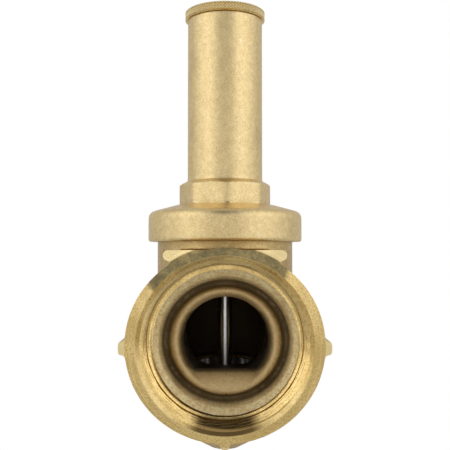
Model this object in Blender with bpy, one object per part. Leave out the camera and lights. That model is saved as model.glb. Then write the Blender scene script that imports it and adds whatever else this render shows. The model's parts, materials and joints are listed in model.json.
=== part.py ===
"""A two-inch inline pressure-reducing valve in cast brass.

The stem axis is Z and the ports face -Y and +Y. The origin is on the stem axis, level with the face of
the bottom plug. The outlet port faces -Y and leads to the chamber over the seat; the inlet port faces
+Y and leads under it. The stem, the disc and the piston move up against the spring to close the valve.
All sizes are in millimetres, and all heights are counted from the port axis: add_object lifts every
piece by the height of that axis over the origin.
"""

import bpy
import bmesh
from math import asin, cos, pi, radians, sin, sqrt, tan
from mathutils import Matrix, Vector

MM = 0.001
GAP = 0.3                       # clearance between neighbouring pieces
PORT_AXIS_HEIGHT = 51.8         # port axis over the plug's face, which is the origin's height

# Ports: female pipe threads, two-inch size
FACE_Y = 70.0                   # half of the face-to-face length
SOCKET_R = 34.5
SOCKET_LENGTH = 22.0
NECKING_R = 30.5                # where a socket runs into the globe
THREAD_MINOR_R = 28.4
THREAD_MAJOR_R = 29.9
THREAD_DEPTH = 12.4
SHOULDER_DEPTH = 14.0
SHOULDER_R = 27.3
CAST_FACE_R = 24.4              # inner edge of the sloping cast face
CAST_FACE_DEPTH = 15.3
GROOVE_R = 21.6                 # middle of the groove round the lip
GROOVE_DEPTH = 20.6
LIP_R = 18.4
LIP_DEPTH = 17.0
HOLE_R = 15.8
HOLE_DEPTH = 22.0               # where the lip has rolled over into the hole
SILL_DROP = 10.8                # flat side of the D-shaped hole, from the port axis
SILL_DEPTH = 24.5
PASSAGE_R = 17.0                # behind the sill the passage widens and its flat lies lower
PASSAGE_DROP = 14.4
PASSAGE_DEPTH = 30.0

# Globe, neck and bottom boss of the body
NECK_R = 29.5
NECK_TOP = 36.6
GASKET_SEAT_R = 28.8            # recess for the bonnet gasket in the neck's top
GASKET_SEAT = 35.6
GLOBE_R = 36.0
BOSS_R = 19.0
BOSS_BOTTOM = -44.0
PARTITION_TOP = -14.0
PARTITION_BOTTOM = -22.0
SEAT_HOLE_R = 13.4
CHAMBER_R = 17.5                # outlet chamber, over the seat
CHAMBER_TOP = 16.0
BOWL_R = 29.5                   # inlet chamber under the seat, at its widest
BOWL_MIDDLE = -25.0
BOWL_FLOOR = -36.5
BOWL_ROOF = -18.4
LINER_SEAT_R = 23.2
NECK_THREAD_R = 26.0
NECK_THREAD_BOTTOM = 21.0
PLUG_BORE_R = 14.6
PLUG_BORE_TOP = -39.0

# Ears and ribs on each socket
EAR_HALF_WIDTH = 21.7
EAR_BOTTOM = 29.3
EAR_TOP = 33.0
EAR_INNER_Y = 24.0
SIDE_RIB_R = 37.0
SIDE_RIB_HEIGHT = 4.6
SIDE_RIB_Z = -0.9
FOOT_RIB_R = 35.7
FOOT_RIB_WIDTH = 2.8

# Bottom plug
PLUG_COLLAR_R = 16.4
PLUG_COLLAR_TOP = -45.3
PLUG_COLLAR_BOTTOM = -46.1
PLUG_BOTTOM = -51.8
PLUG_FLATS = 24.0
PLUG_TURN = radians(12)
GUIDE_R = 5.0                   # bush that guides the stem's lower end
GUIDE_BOTTOM = -45.8
GUIDE_TOP = -40.2

# Bonnet
FLANGE_R = 33.5
FLANGE_BOTTOM = 36.9
FLANGE_RIM_TOP = 49.5
FLANGE_TOP = 53.2
OCTAGON_FLATS = 38.0
OCTAGON_CORNER_R = 20.0
OCTAGON_TOP = 61.5
OCTAGON_TURN = radians(3)       # its front corner stands a little to the +X side
BARREL_R = 16.4
BARREL_BASE = 63.4
BARREL_TOP = 134.5
BARREL_BORE_R = 13.2
SKIRT_R = 25.7
SKIRT_BORE_R = 22.7
SKIRT_BOTTOM = 24.3
SPRING_ROOF = 40.5

# Stem, disc and piston, at rest in the open position
STEM_R = 3.5
STEM_THREAD_R = 3.0
STEM_BORE_R = STEM_THREAD_R + GAP
STEM_BOTTOM = -45.0
STEM_TOP = 39.0
STEM_COLLAR_R = 5.0
STEM_NUT_FLATS = 10.0
FULL_NUT = 5.0                  # heights of the stem's two nuts
THIN_NUT = 3.2
DISC_SHOULDER = -27.5
DISC_SEAL = (-31.5, -29.0)      # lower and upper face of the rubber seal
HOLDER_BOTTOM = -35.5
PISTON_SHOULDER = 17.7
PISTON_TOP = 27.0
PISTON_R = 19.4
PISTON_SEAL_GROOVE = (19.5, 22.5)
PISTON_SEAL_ROOT_R = 16.9
WEAR_RING_GROOVE = (23.8, 26.2)
WEAR_RING_ROOT_R = 17.4
LINER_BORE_R = 20.0
LINER_TOP = 36.0
LINER_GROOVE = (17.6, 19.8)     # lower and upper wall of the O-ring's groove
LINER_GROOVE_R = 21.3
SEAL_R = 12.9

# Spring and its plates
SPRING_MEAN_R = 10.0
SPRING_WIRE_R = 1.6
SPRING_BOTTOM = 30.1
SPRING_TOP = 112.2
SPRING_TURNS = 9
CLOSED_PITCH = 3.6
PLATE_R = 12.6
PLATE_BOSS_R = 7.9              # boss that centres the spring's end coil
LOWER_PLATE_TOP = 31.5
UPPER_PLATE_BOTTOM = 109.0
UPPER_PLATE_TOP = 115.5

# Adjusting spindle and cap
SPINDLE_R = 4.0
SPINDLE_TIP_R = 2.6
SPINDLE_BORE_R = SPINDLE_R + GAP
SPINDLE_TIP = 114.3
SPINDLE_TOP = 142.3
SPINDLE_COLLAR_R = 6.5
SPINDLE_COLLAR = (131.5, 134.2)
BUSH_BOTTOM = 121.2
BUSH_TOP = 127.2
CAP_R = 17.6
CAP_BOTTOM = 135.0
CAP_TOP = 138.5
CAP_RECESS_R = 9.2              # sunk seat for the washer and the nut
CAP_RECESS_FLOOR = 136.7
CAP_WASHER_R = 8.0
CAP_NUT_FLATS = 13.0
SPIGOT_R = 12.9
SPIGOT_BORE_R = 10.0
SPIGOT_BOTTOM = BUSH_TOP + 0.4

FINE = 36                       # facets round a large turned surface
MEDIUM = 24                     # round a middling one
COARSE = 16                     # round a small one


def remove_everything():
    for thing in list(bpy.data.objects):
        bpy.data.objects.remove(thing, do_unlink=True)


def material(name, colour, roughness, metallic):
    made = bpy.data.materials.new(name)
    made.use_nodes = True
    shader = made.node_tree.nodes["Principled BSDF"]
    shader.inputs["Base Color"].default_value = (*colour, 1.0)
    shader.inputs["Roughness"].default_value = roughness
    shader.inputs["Metallic"].default_value = metallic
    return made


def add_object(name, mesh_data, look=None):
    """Close a bmesh into an object; one with no material is a cutter or a joining shape."""
    bmesh.ops.recalc_face_normals(mesh_data, faces=mesh_data.faces)
    mesh = bpy.data.meshes.new(name)
    mesh_data.to_mesh(mesh)
    mesh_data.free()
    mesh.shade_smooth()
    mesh.set_sharp_from_angle(angle=radians(32))
    made = bpy.data.objects.new(name, mesh)
    made.location.z = PORT_AXIS_HEIGHT * MM
    bpy.context.collection.objects.link(made)
    if look is None:
        made.hide_render = True
        made.display_type = "WIRE"
    else:
        mesh.materials.append(look)
    return made


def turned(name, outline, look=None, facets=COARSE, axis="Z"):
    """Spin an outline of (radius, height) points; it closes on itself unless it ends on the axis."""
    shape = bmesh.new()
    points = [shape.verts.new((r * MM, 0.0, h * MM)) for r, h in outline]
    lines = [shape.edges.new(pair) for pair in zip(points, points[1:])]
    if outline[0][0] > 0.0:
        lines.append(shape.edges.new((points[-1], points[0])))
    bmesh.ops.spin(shape, geom=points + lines, cent=(0, 0, 0), axis=(0, 0, 1), angle=2 * pi,
                   steps=facets, use_merge=True, use_duplicate=False)
    bmesh.ops.remove_doubles(shape, verts=shape.verts, dist=1e-6)
    if axis == "-Y":
        bmesh.ops.rotate(shape, verts=shape.verts, matrix=Matrix.Rotation(pi / 2, 3, "X"))
    if axis == "+Y":
        bmesh.ops.rotate(shape, verts=shape.verts, matrix=Matrix.Rotation(-pi / 2, 3, "X"))
    return add_object(name, shape, look)


def lofted(name, sections, look=None):
    """Join rings of points, one ring for each section, and cap both ends."""
    shape = bmesh.new()
    rings = [[shape.verts.new(Vector(point) * MM) for point in ring] for ring in sections]
    for low, high in zip(rings, rings[1:]):
        for i in range(len(low)):
            j = (i + 1) % len(low)
            shape.faces.new((low[i], low[j], high[j], high[i]))
    shape.faces.new(rings[0])
    shape.faces.new(rings[-1])
    return add_object(name, shape, look)


def prism(name, outline, bottom, top, look=None):
    return lofted(name, [[(x, y, z) for x, y in outline] for z in (bottom, top)], look)


def polygon(sides, across_flats, turn=0.0):
    """Corners of a regular polygon; with no turn, one corner points along +X."""
    corner = across_flats / 2 / cos(pi / sides)
    angles = [turn + 2 * pi * i / sides for i in range(sides)]
    return [(corner * cos(a), corner * sin(a)) for a in angles]


def arc(centre, radius, start, end, steps):
    """Points on a circle in an outline's (radius, height) plane, angles in degrees."""
    angles = [radians(start + (end - start) * i / steps) for i in range(steps + 1)]
    return [(centre[0] + radius * cos(a), centre[1] + radius * sin(a)) for a in angles]


def eased(low, high, steps):
    """An S-curve from one outline point to another, vertical at both ends."""
    run = []
    for i in range(steps + 1):
        share = i / steps
        swing = (1 - cos(pi * share)) / 2
        run.append((low[0] + (high[0] - low[0]) * swing, low[1] + (high[1] - low[1]) * share))
    return run


def combine(target, other, operation):
    step = target.modifiers.new(other.name, "BOOLEAN")
    step.operation = operation
    step.solver = "EXACT"
    step.object = other


def unite(target, *others):
    for other in others:
        combine(target, other, "UNION")


def cut(target, *others):
    for other in others:
        combine(target, other, "DIFFERENCE")


# ---------------------------------------------------------------- body

def globe_outline():
    """Half outline of the body about the stem axis, from the boss up to the neck."""
    bulge_top = -6.0
    bulge_bottom = -16.0
    boss_top = -40.0
    lower_curve = []
    steps = 6
    for i in range(steps + 1):
        angle = pi / 2 * i / steps
        radius = BOSS_R + (GLOBE_R - BOSS_R) * sin(angle)
        lower_curve.append((radius, bulge_bottom + (boss_top - bulge_bottom) * cos(angle)))
    upper_curve = eased((GLOBE_R, bulge_top), (NECK_R, 17.0), 4)
    foot = [(0.0, BOSS_BOTTOM), (BOSS_R - 1.0, BOSS_BOTTOM), (BOSS_R, BOSS_BOTTOM + 1.0)]
    return foot + lower_curve + upper_curve + [(NECK_R, NECK_TOP), (0.0, NECK_TOP)]


def socket_shape(side):
    name = "outlet" if side == "-Y" else "inlet"
    inner_end = 12.0
    runout = 38.0
    outline = [(0.0, FACE_Y), (SOCKET_R - 0.4, FACE_Y), (SOCKET_R, FACE_Y - 0.4),
               (SOCKET_R, FACE_Y - SOCKET_LENGTH)]
    outline += eased((NECKING_R, runout), (SOCKET_R, FACE_Y - SOCKET_LENGTH), 4)[-2::-1]
    outline += [(NECKING_R, inner_end), (0.0, inner_end)]
    return turned(name + "_socket", outline, facets=FINE, axis=side)


def ear_shape(name, y_outer, y_inner):
    """A slab with rounded ends that bridges the top of a socket to the neck."""
    half_height = (EAR_TOP - EAR_BOTTOM) / 2
    middle = (EAR_TOP + EAR_BOTTOM) / 2
    reach = EAR_HALF_WIDTH - half_height
    right = arc((reach, middle), half_height, -90, 90, 5)
    left = arc((-reach, middle), half_height, 90, 270, 5)
    return lofted(name, [[(x, y, z) for x, z in right + left] for y in (y_outer, y_inner)])


def rib_shape(name, x_range, z_range, side):
    """A small lug that runs along the outside of a socket."""
    corner = 0.8
    outline = []
    for x, z, first in ((x_range[1], z_range[1], 0), (x_range[0], z_range[1], 90),
                        (x_range[0], z_range[0], 180), (x_range[1], z_range[0], 270)):
        centre_x = x - corner if x == x_range[1] else x + corner
        centre_z = z - corner if z == z_range[1] else z + corner
        outline += arc((centre_x, centre_z), corner, first, first + 90, 1)
    ends = (side * FACE_Y, side * (FACE_Y - SOCKET_LENGTH + 1.0))
    return lofted(name, [[(x, y, z) for x, z in outline] for y in ends])


def port_cutter(side):
    """Thread bore, relief, shoulder and the groove round the lip, cut from a port's face."""
    groove_round = 1.0
    depths = [(0.0, -1.0), (32.0, -1.0), (29.8, 1.2), (THREAD_MINOR_R, 2.6),
              (THREAD_MINOR_R, THREAD_DEPTH - 0.6), (THREAD_MAJOR_R, THREAD_DEPTH + 0.4),
              (THREAD_MAJOR_R, SHOULDER_DEPTH), (SHOULDER_R, SHOULDER_DEPTH),
              (CAST_FACE_R, CAST_FACE_DEPTH), (GROOVE_R + 1.3, CAST_FACE_DEPTH + 1.2)]
    depths += arc((GROOVE_R, GROOVE_DEPTH - groove_round), groove_round, 0, 180, 3)
    depths += [(LIP_R + 0.5, LIP_DEPTH + 0.5), (LIP_R, LIP_DEPTH), (0.0, LIP_DEPTH)]
    outline = [(r, FACE_Y - t) for r, t in depths]
    name = "outlet_cutter" if side == "-Y" else "inlet_cutter"
    return turned(name, outline, facets=FINE, axis=side)


def d_section(radius, drop, y, flip):
    """A circle with a flat chord below its centre, or above it when flipped."""
    start = -asin(drop / radius)
    steps = 20
    angles = [start + (pi - 2 * start) * i / steps for i in range(steps + 1)]
    return [(radius * cos(a), y, flip * radius * sin(a)) for a in angles]


def rolled(rim, inner, share):
    """A quarter of an ellipse, from the rim where it faces the port to a wall along the passage."""
    left = 1 - min(share, 1.0)
    return rim - (rim - inner) * sqrt(1 - left * left)


def passage_cutter(name, side, inner_y):
    """The D-shaped water way; its round part and its flat both roll over the lip."""
    rim = LIP_R - 0.6
    steps = 5
    sections = [d_section(rim, rim * 0.99, side * (FACE_Y - LIP_DEPTH + 0.2), -side)]
    for i in range(1, steps + 1):
        depth = (SILL_DEPTH - LIP_DEPTH) * (1 - cos(pi / 2 * i / steps))
        radius = rolled(rim, HOLE_R, depth / (HOLE_DEPTH - LIP_DEPTH))
        drop = rolled(rim, SILL_DROP, depth / (SILL_DEPTH - LIP_DEPTH))
        drop = min(drop, radius * 0.99)
        sections.append(d_section(radius, drop, side * (FACE_Y - LIP_DEPTH - depth), -side))
    for y in (FACE_Y - PASSAGE_DEPTH, inner_y):
        sections.append(d_section(PASSAGE_R, PASSAGE_DROP, side * y, -side))
    return lofted(name, sections)


def inlet_ramp_cutter():
    """The slanted oval way from the inlet down under the partition."""
    half_height = 9.0
    half_width = 15.0
    across = Vector((0.0, -1.0, 1.0)).normalized()
    sections = []
    for centre in (Vector((0.0, 40.0, -6.0)), Vector((0.0, 20.0, -26.0))):
        ring = []
        for i in range(24):
            angle = 2 * pi * i / 24
            ring.append(centre + Vector((half_width * cos(angle), 0, 0)) + across * half_height * sin(angle))
        sections.append(ring)
    return lofted("inlet_ramp_cutter", sections)


def upper_bore_cutter():
    """Outlet chamber, liner seat and bonnet thread, one stepped bore from the top."""
    above = NECK_TOP + 1.0
    outline = [(0.0, PARTITION_TOP), (CHAMBER_R, PARTITION_TOP), (CHAMBER_R, CHAMBER_TOP),
               (LINER_SEAT_R, CHAMBER_TOP), (LINER_SEAT_R, NECK_THREAD_BOTTOM),
               (NECK_THREAD_R, NECK_THREAD_BOTTOM), (NECK_THREAD_R, GASKET_SEAT),
               (GASKET_SEAT_R, GASKET_SEAT), (GASKET_SEAT_R, above), (0.0, above)]
    return turned("upper_bore_cutter", outline, facets=FINE)


def lower_bore_cutter():
    """Seat hole, inlet chamber and plug bore, one stepped bore from below."""
    below = BOSS_BOTTOM - 1.0
    above = PARTITION_TOP + 1.0
    outline = [(0.0, below), (PLUG_BORE_R, below), (PLUG_BORE_R, PLUG_BORE_TOP),
               (BOWL_R - 8.5, BOWL_FLOOR), (BOWL_R - 2.5, BOWL_MIDDLE - 7.0), (BOWL_R, BOWL_MIDDLE),
               (BOWL_R - 1.0, BOWL_ROOF), (SEAT_HOLE_R + 6.0, BOWL_ROOF),
               (SEAT_HOLE_R + 4.5, PARTITION_BOTTOM), (SEAT_HOLE_R, PARTITION_BOTTOM),
               (SEAT_HOLE_R, above), (0.0, above)]
    return turned("lower_bore_cutter", outline, facets=MEDIUM)


def make_valve_body(look):
    body = turned("valve_body", globe_outline(), look, facets=FINE)
    ear_ends = {"outlet": -1, "inlet": 1}
    unite(body, socket_shape("-Y"), socket_shape("+Y"))
    for name, side in ear_ends.items():
        unite(body, ear_shape(name + "_ear", side * FACE_Y, side * EAR_INNER_Y))
        side_z = (SIDE_RIB_Z - SIDE_RIB_HEIGHT / 2, SIDE_RIB_Z + SIDE_RIB_HEIGHT / 2)
        rib_root = SOCKET_R - 2.0
        unite(body,
              rib_shape(name + "_right_rib", (rib_root, SIDE_RIB_R), side_z, side),
              rib_shape(name + "_left_rib", (-SIDE_RIB_R, -rib_root), side_z, side),
              rib_shape(name + "_foot_rib", (-FOOT_RIB_WIDTH / 2, FOOT_RIB_WIDTH / 2),
                        (-FOOT_RIB_R, -rib_root), side))
    cut(body, port_cutter("-Y"), port_cutter("+Y"), upper_bore_cutter(), lower_bore_cutter())
    cut(body, passage_cutter("outlet_passage_cutter", -1, 6.0),
        passage_cutter("inlet_passage_cutter", 1, 27.5), inlet_ramp_cutter())
    return body


def make_seat_ring(look):
    outer = SEAT_HOLE_R - GAP
    inner = 11.5
    top = PARTITION_TOP - 1.0
    seat_face = PARTITION_BOTTOM - 2.0
    outline = [(inner, top), (outer, top), (outer, seat_face), (inner + 0.6, seat_face),
               (inner, seat_face + 0.6)]
    turned("seat_ring", outline, look, facets=MEDIUM)


def make_bottom_plug(look):
    """Screwed plug with a collar, a chamfered hexagon and a blind bore for the guide bush."""
    thread_r = PLUG_BORE_R - GAP
    thread_top = PLUG_BORE_TOP - GAP
    core_bottom = PLUG_COLLAR_BOTTOM - 1.0
    outline = [(0.0, thread_top), (thread_r - 0.8, thread_top), (thread_r, thread_top - 0.8),
               (thread_r, PLUG_COLLAR_TOP), (PLUG_COLLAR_R, PLUG_COLLAR_TOP),
               (PLUG_COLLAR_R, PLUG_COLLAR_BOTTOM), (10.0, core_bottom), (0.0, core_bottom)]
    plug = turned("bottom_plug", outline, look, facets=MEDIUM)
    inside = PLUG_COLLAR_BOTTOM + 0.3
    head = prism("plug_hexagon", polygon(6, PLUG_FLATS, PLUG_TURN), PLUG_BOTTOM, inside)
    cone = turned("plug_chamfer", [(0.0, PLUG_BOTTOM - 0.5), (5.0, PLUG_BOTTOM - 0.5),
                                   (14.6, PLUG_BOTTOM + 4.5), (14.6, inside + 1.0),
                                   (0.0, inside + 1.0)], facets=MEDIUM)
    combine(head, cone, "INTERSECT")
    unite(plug, head)
    guide_seat = GUIDE_BOTTOM - GAP
    relief_r = STEM_THREAD_R + 0.6
    relief_bottom = guide_seat - 2.5
    bore = turned("plug_bore", [(0.0, relief_bottom), (relief_r, relief_bottom), (relief_r, guide_seat),
                                (GUIDE_R + GAP, guide_seat), (GUIDE_R + GAP, thread_top + 1.0),
                                (0.0, thread_top + 1.0)])
    cut(plug, bore)


def ring(name, inner, outer, bottom, top, look, facets=COARSE):
    """A plain washer, bush or flat gasket."""
    turned(name, [(inner, bottom), (outer, bottom), (outer, top), (inner, top)], look, facets)


def o_ring(name, centre_r, section_r, height, look, facets=MEDIUM):
    outline = arc((centre_r, height), section_r, 0, 360, 6)[:-1]
    turned(name, outline, look, facets)


def hexagon_nut(name, across_flats, bore_r, bottom, top, look):
    """A nut with its outer corners chamfered on both faces."""
    nut = prism(name, polygon(6, across_flats), bottom, top, look)
    corner = across_flats / 2 / cos(pi / 6)
    flat = across_flats / 2
    drop = (corner + 0.2 - flat * 0.98) * tan(radians(30))
    limit = turned(name + "_chamfer", [(0.0, bottom), (flat * 0.98, bottom), (corner + 0.2, bottom + drop),
                                       (corner + 0.2, top - drop), (flat * 0.98, top), (0.0, top)])
    combine(nut, limit, "INTERSECT")
    cut(nut, turned(name + "_bore", [(0.0, bottom - 1.0), (bore_r, bottom - 1.0), (bore_r, top + 1.0),
                                     (0.0, top + 1.0)], facets=COARSE))


# ---------------------------------------------------------------- bonnet and liner

def make_bonnet(look):
    flange_edge = 0.8
    flange_round = 3.0
    outline = [(0.0, SKIRT_BOTTOM), (SKIRT_R - 0.6, SKIRT_BOTTOM), (SKIRT_R, SKIRT_BOTTOM + 0.6),
               (SKIRT_R, FLANGE_BOTTOM), (FLANGE_R - flange_edge, FLANGE_BOTTOM),
               (FLANGE_R, FLANGE_BOTTOM + flange_edge)]
    outline += arc((FLANGE_R - flange_round, FLANGE_RIM_TOP - flange_round), flange_round, 0, 80, 6)
    outline += [(OCTAGON_CORNER_R - 1.0, FLANGE_TOP), (BARREL_R + 0.5, FLANGE_TOP + 0.2),
                (BARREL_R + 0.5, BARREL_BASE - 0.2), (BARREL_R, BARREL_BASE + 0.6),
                (BARREL_R, BARREL_TOP - 0.3), (BARREL_R - 0.3, BARREL_TOP), (0.0, BARREL_TOP)]
    bonnet = turned("bonnet", outline, look, facets=FINE)
    head = prism("octagon", polygon(8, OCTAGON_FLATS, OCTAGON_TURN - pi / 2), FLANGE_TOP - 3.0, BARREL_BASE)
    limit = turned("octagon_corners", [(0.0, FLANGE_TOP - 4.0), (OCTAGON_CORNER_R, FLANGE_TOP - 4.0),
                                       (OCTAGON_CORNER_R, OCTAGON_TOP), (BARREL_R + 0.45, BARREL_BASE - 0.1),
                                       (0.0, BARREL_BASE - 0.1)], facets=FINE)
    combine(head, limit, "INTERSECT")
    unite(bonnet, head)
    bore = [(0.0, SKIRT_BOTTOM - 1.0), (SKIRT_BORE_R, SKIRT_BOTTOM - 1.0), (SKIRT_BORE_R, SPRING_ROOF),
            (BARREL_BORE_R, SPRING_ROOF + 2.0), (BARREL_BORE_R, BARREL_TOP + 1.0), (0.0, BARREL_TOP + 1.0)]
    cut(bonnet, turned("bonnet_bore", bore, facets=FINE))


def make_cylinder_liner(look):
    """Sleeve with a flange that the bonnet's skirt holds down and a groove for its O-ring."""
    low = CHAMBER_TOP + GAP
    lower_r = LINER_SEAT_R - GAP
    upper_r = SKIRT_BORE_R - GAP
    groove_low, groove_high = LINER_GROOVE
    flange_low = NECK_THREAD_BOTTOM + GAP
    flange_high = SKIRT_BOTTOM - GAP
    outline = [(LINER_BORE_R, low), (lower_r, low), (lower_r, groove_low), (LINER_GROOVE_R, groove_low),
               (LINER_GROOVE_R, groove_high), (lower_r, groove_high), (lower_r, flange_low),
               (SKIRT_R, flange_low), (SKIRT_R, flange_high), (upper_r, flange_high),
               (upper_r, LINER_TOP), (LINER_BORE_R, LINER_TOP)]
    turned("cylinder_liner", outline, look, facets=FINE)


# ---------------------------------------------------------------- stem, disc and piston

def make_valve_stem(look):
    lower_collar_top = DISC_SHOULDER + 1.6
    upper_collar_bottom = PISTON_SHOULDER - 2.2
    outline = [(0.0, STEM_BOTTOM), (STEM_THREAD_R - 0.5, STEM_BOTTOM), (STEM_THREAD_R, STEM_BOTTOM + 0.5),
               (STEM_THREAD_R, DISC_SHOULDER), (STEM_COLLAR_R, DISC_SHOULDER),
               (STEM_COLLAR_R, lower_collar_top), (STEM_R, lower_collar_top + 0.8),
               (STEM_R, upper_collar_bottom - 0.8), (STEM_COLLAR_R, upper_collar_bottom),
               (STEM_COLLAR_R, PISTON_SHOULDER), (STEM_THREAD_R, PISTON_SHOULDER),
               (STEM_THREAD_R, STEM_TOP - 0.5), (STEM_THREAD_R - 0.5, STEM_TOP), (0.0, STEM_TOP)]
    turned("valve_stem", outline, look, facets=COARSE)


def make_disc_holder(look):
    """Cup that carries the rubber seal, which stands a little proud of it."""
    seal_bottom, seal_top = DISC_SEAL
    pocket_r = SEAL_R + GAP
    pocket_floor = seal_bottom - GAP
    wall_r = pocket_r + 0.7
    wall_top = seal_top - 0.6
    outline = [(STEM_BORE_R, HOLDER_BOTTOM), (wall_r - 1.0, HOLDER_BOTTOM), (wall_r, HOLDER_BOTTOM + 1.0),
               (wall_r, wall_top), (pocket_r, wall_top), (pocket_r, pocket_floor),
               (STEM_BORE_R, pocket_floor)]
    turned("disc_holder", outline, look, facets=MEDIUM)


def make_piston(look):
    """Disc with a groove for its O-ring and one for its wear ring."""
    bottom = PISTON_SHOULDER + GAP
    seal_low, seal_high = PISTON_SEAL_GROOVE
    ring_low, ring_high = WEAR_RING_GROOVE
    outline = [(STEM_BORE_R, bottom), (PISTON_R - 0.5, bottom), (PISTON_R, bottom + 0.5),
               (PISTON_R, seal_low), (PISTON_SEAL_ROOT_R, seal_low), (PISTON_SEAL_ROOT_R, seal_high),
               (PISTON_R, seal_high), (PISTON_R, ring_low), (WEAR_RING_ROOT_R, ring_low),
               (WEAR_RING_ROOT_R, ring_high), (PISTON_R, ring_high), (PISTON_R, PISTON_TOP - 0.3),
               (PISTON_R - 0.3, PISTON_TOP), (STEM_BORE_R, PISTON_TOP)]
    turned("piston", outline, look, facets=MEDIUM)


def make_disc_stack(brass, steel, rubber):
    """Washer, seal, holder and nut on the stem's lower end."""
    seal_bottom, seal_top = DISC_SEAL
    washer_r = 8.0
    nut_top = HOLDER_BOTTOM - GAP
    ring("disc_washer", STEM_BORE_R, washer_r, seal_top + GAP, DISC_SHOULDER - GAP, steel)
    ring("disc_seal", STEM_BORE_R, SEAL_R, seal_bottom, seal_top, rubber, facets=MEDIUM)
    make_disc_holder(brass)
    hexagon_nut("disc_nut", STEM_NUT_FLATS, STEM_BORE_R, nut_top - THIN_NUT, nut_top, steel)


def make_piston_stack(brass, steel, rubber, plastic):
    """Piston with its seal and wear ring, lower spring plate and nut on the stem's upper end."""
    make_piston(brass)
    seal_low, seal_high = PISTON_SEAL_GROOVE
    seal_section = 1.2
    o_ring("piston_seal", PISTON_SEAL_ROOT_R + GAP + seal_section, seal_section,
           (seal_low + seal_high) / 2, rubber)
    ring_low, ring_high = WEAR_RING_GROOVE
    ring("piston_wear_ring", WEAR_RING_ROOT_R + GAP, LINER_BORE_R - GAP, ring_low + GAP, ring_high - GAP,
         plastic, facets=MEDIUM)
    plate_bottom = PISTON_TOP + GAP
    seat = SPRING_BOTTOM - GAP
    plate = [(STEM_BORE_R, plate_bottom), (PLATE_R, plate_bottom), (PLATE_R, seat), (PLATE_BOSS_R, seat),
             (PLATE_BOSS_R - 0.5, LOWER_PLATE_TOP), (STEM_BORE_R, LOWER_PLATE_TOP)]
    turned("lower_spring_plate", plate, steel)
    nut_bottom = LOWER_PLATE_TOP + GAP
    hexagon_nut("piston_nut", STEM_NUT_FLATS, STEM_BORE_R, nut_bottom, nut_bottom + FULL_NUT, steel)


# ---------------------------------------------------------------- spring and adjuster

def spring_height(turn):
    """Height of the wire's centre after a number of turns: one closed turn at each end."""
    bottom = SPRING_BOTTOM + SPRING_WIRE_R
    open_rise = SPRING_TOP - SPRING_BOTTOM - 2 * SPRING_WIRE_R - 2 * CLOSED_PITCH
    if turn < 1:
        return bottom + CLOSED_PITCH * turn
    if turn < 1 + SPRING_TURNS:
        return bottom + CLOSED_PITCH + open_rise * (turn - 1) / SPRING_TURNS
    return bottom + CLOSED_PITCH + open_rise + CLOSED_PITCH * (turn - 1 - SPRING_TURNS)


def make_main_spring(look):
    steps_per_turn = 14
    wire_sides = 6
    total_turns = SPRING_TURNS + 2
    sections = []
    for i in range(total_turns * steps_per_turn + 1):
        turn = i / steps_per_turn
        angle = 2 * pi * turn
        outward = Vector((cos(angle), sin(angle), 0.0))
        centre = outward * SPRING_MEAN_R + Vector((0.0, 0.0, spring_height(turn)))
        section = []
        for j in range(wire_sides):
            around = 2 * pi * j / wire_sides
            section.append(centre + outward * SPRING_WIRE_R * cos(around)
                           + Vector((0.0, 0.0, SPRING_WIRE_R * sin(around))))
        sections.append(section)
    lofted("main_spring", sections, look)


def make_adjuster(brass, steel):
    seat = SPRING_TOP + GAP
    pocket = SPINDLE_TIP - GAP
    plate = [(0.0, UPPER_PLATE_BOTTOM), (PLATE_BOSS_R - 0.5, UPPER_PLATE_BOTTOM), (PLATE_BOSS_R, seat),
             (PLATE_R, seat), (PLATE_R, UPPER_PLATE_TOP), (SPINDLE_BORE_R, UPPER_PLATE_TOP),
             (SPINDLE_BORE_R, pocket), (0.0, pocket)]
    turned("upper_spring_plate", plate, steel)
    ring("spindle_bush", SPINDLE_BORE_R, BARREL_BORE_R - GAP, BUSH_BOTTOM, BUSH_TOP, brass, facets=FINE)
    collar_low, collar_high = SPINDLE_COLLAR
    spindle = [(0.0, SPINDLE_TIP), (SPINDLE_TIP_R, SPINDLE_TIP), (SPINDLE_R, SPINDLE_TIP + 1.2),
               (SPINDLE_R, collar_low), (SPINDLE_COLLAR_R, collar_low), (SPINDLE_COLLAR_R, collar_high),
               (SPINDLE_R, collar_high), (SPINDLE_R, SPINDLE_TOP - 0.8), (SPINDLE_R - 0.8, SPINDLE_TOP),
               (0.0, SPINDLE_TOP)]
    turned("adjusting_spindle", spindle, steel, facets=COARSE)
    washer_bottom = CAP_RECESS_FLOOR + GAP
    washer_top = washer_bottom + 0.8
    ring("cap_washer", SPINDLE_BORE_R, CAP_WASHER_R, washer_bottom, washer_top, steel)
    hexagon_nut("cap_nut", CAP_NUT_FLATS, SPINDLE_BORE_R, washer_top + GAP, SPINDLE_TOP - 0.8, steel)


def make_knurled_cap(look):
    """Thin cap with a sunk top and a hollow spigot that enters the spring barrel."""
    edge = 0.4
    web_bottom = SPINDLE_COLLAR[1] + GAP
    outline = [(SPINDLE_BORE_R, web_bottom), (SPIGOT_BORE_R, web_bottom), (SPIGOT_BORE_R, SPIGOT_BOTTOM),
               (SPIGOT_R - edge, SPIGOT_BOTTOM), (SPIGOT_R, SPIGOT_BOTTOM + edge), (SPIGOT_R, CAP_BOTTOM),
               (CAP_R - edge, CAP_BOTTOM), (CAP_R, CAP_BOTTOM + edge), (CAP_R, CAP_TOP - edge),
               (CAP_R - edge, CAP_TOP), (CAP_RECESS_R, CAP_TOP), (CAP_RECESS_R, CAP_RECESS_FLOOR),
               (SPINDLE_BORE_R, CAP_RECESS_FLOOR)]
    turned("knurled_cap", outline, look, facets=FINE)


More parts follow.
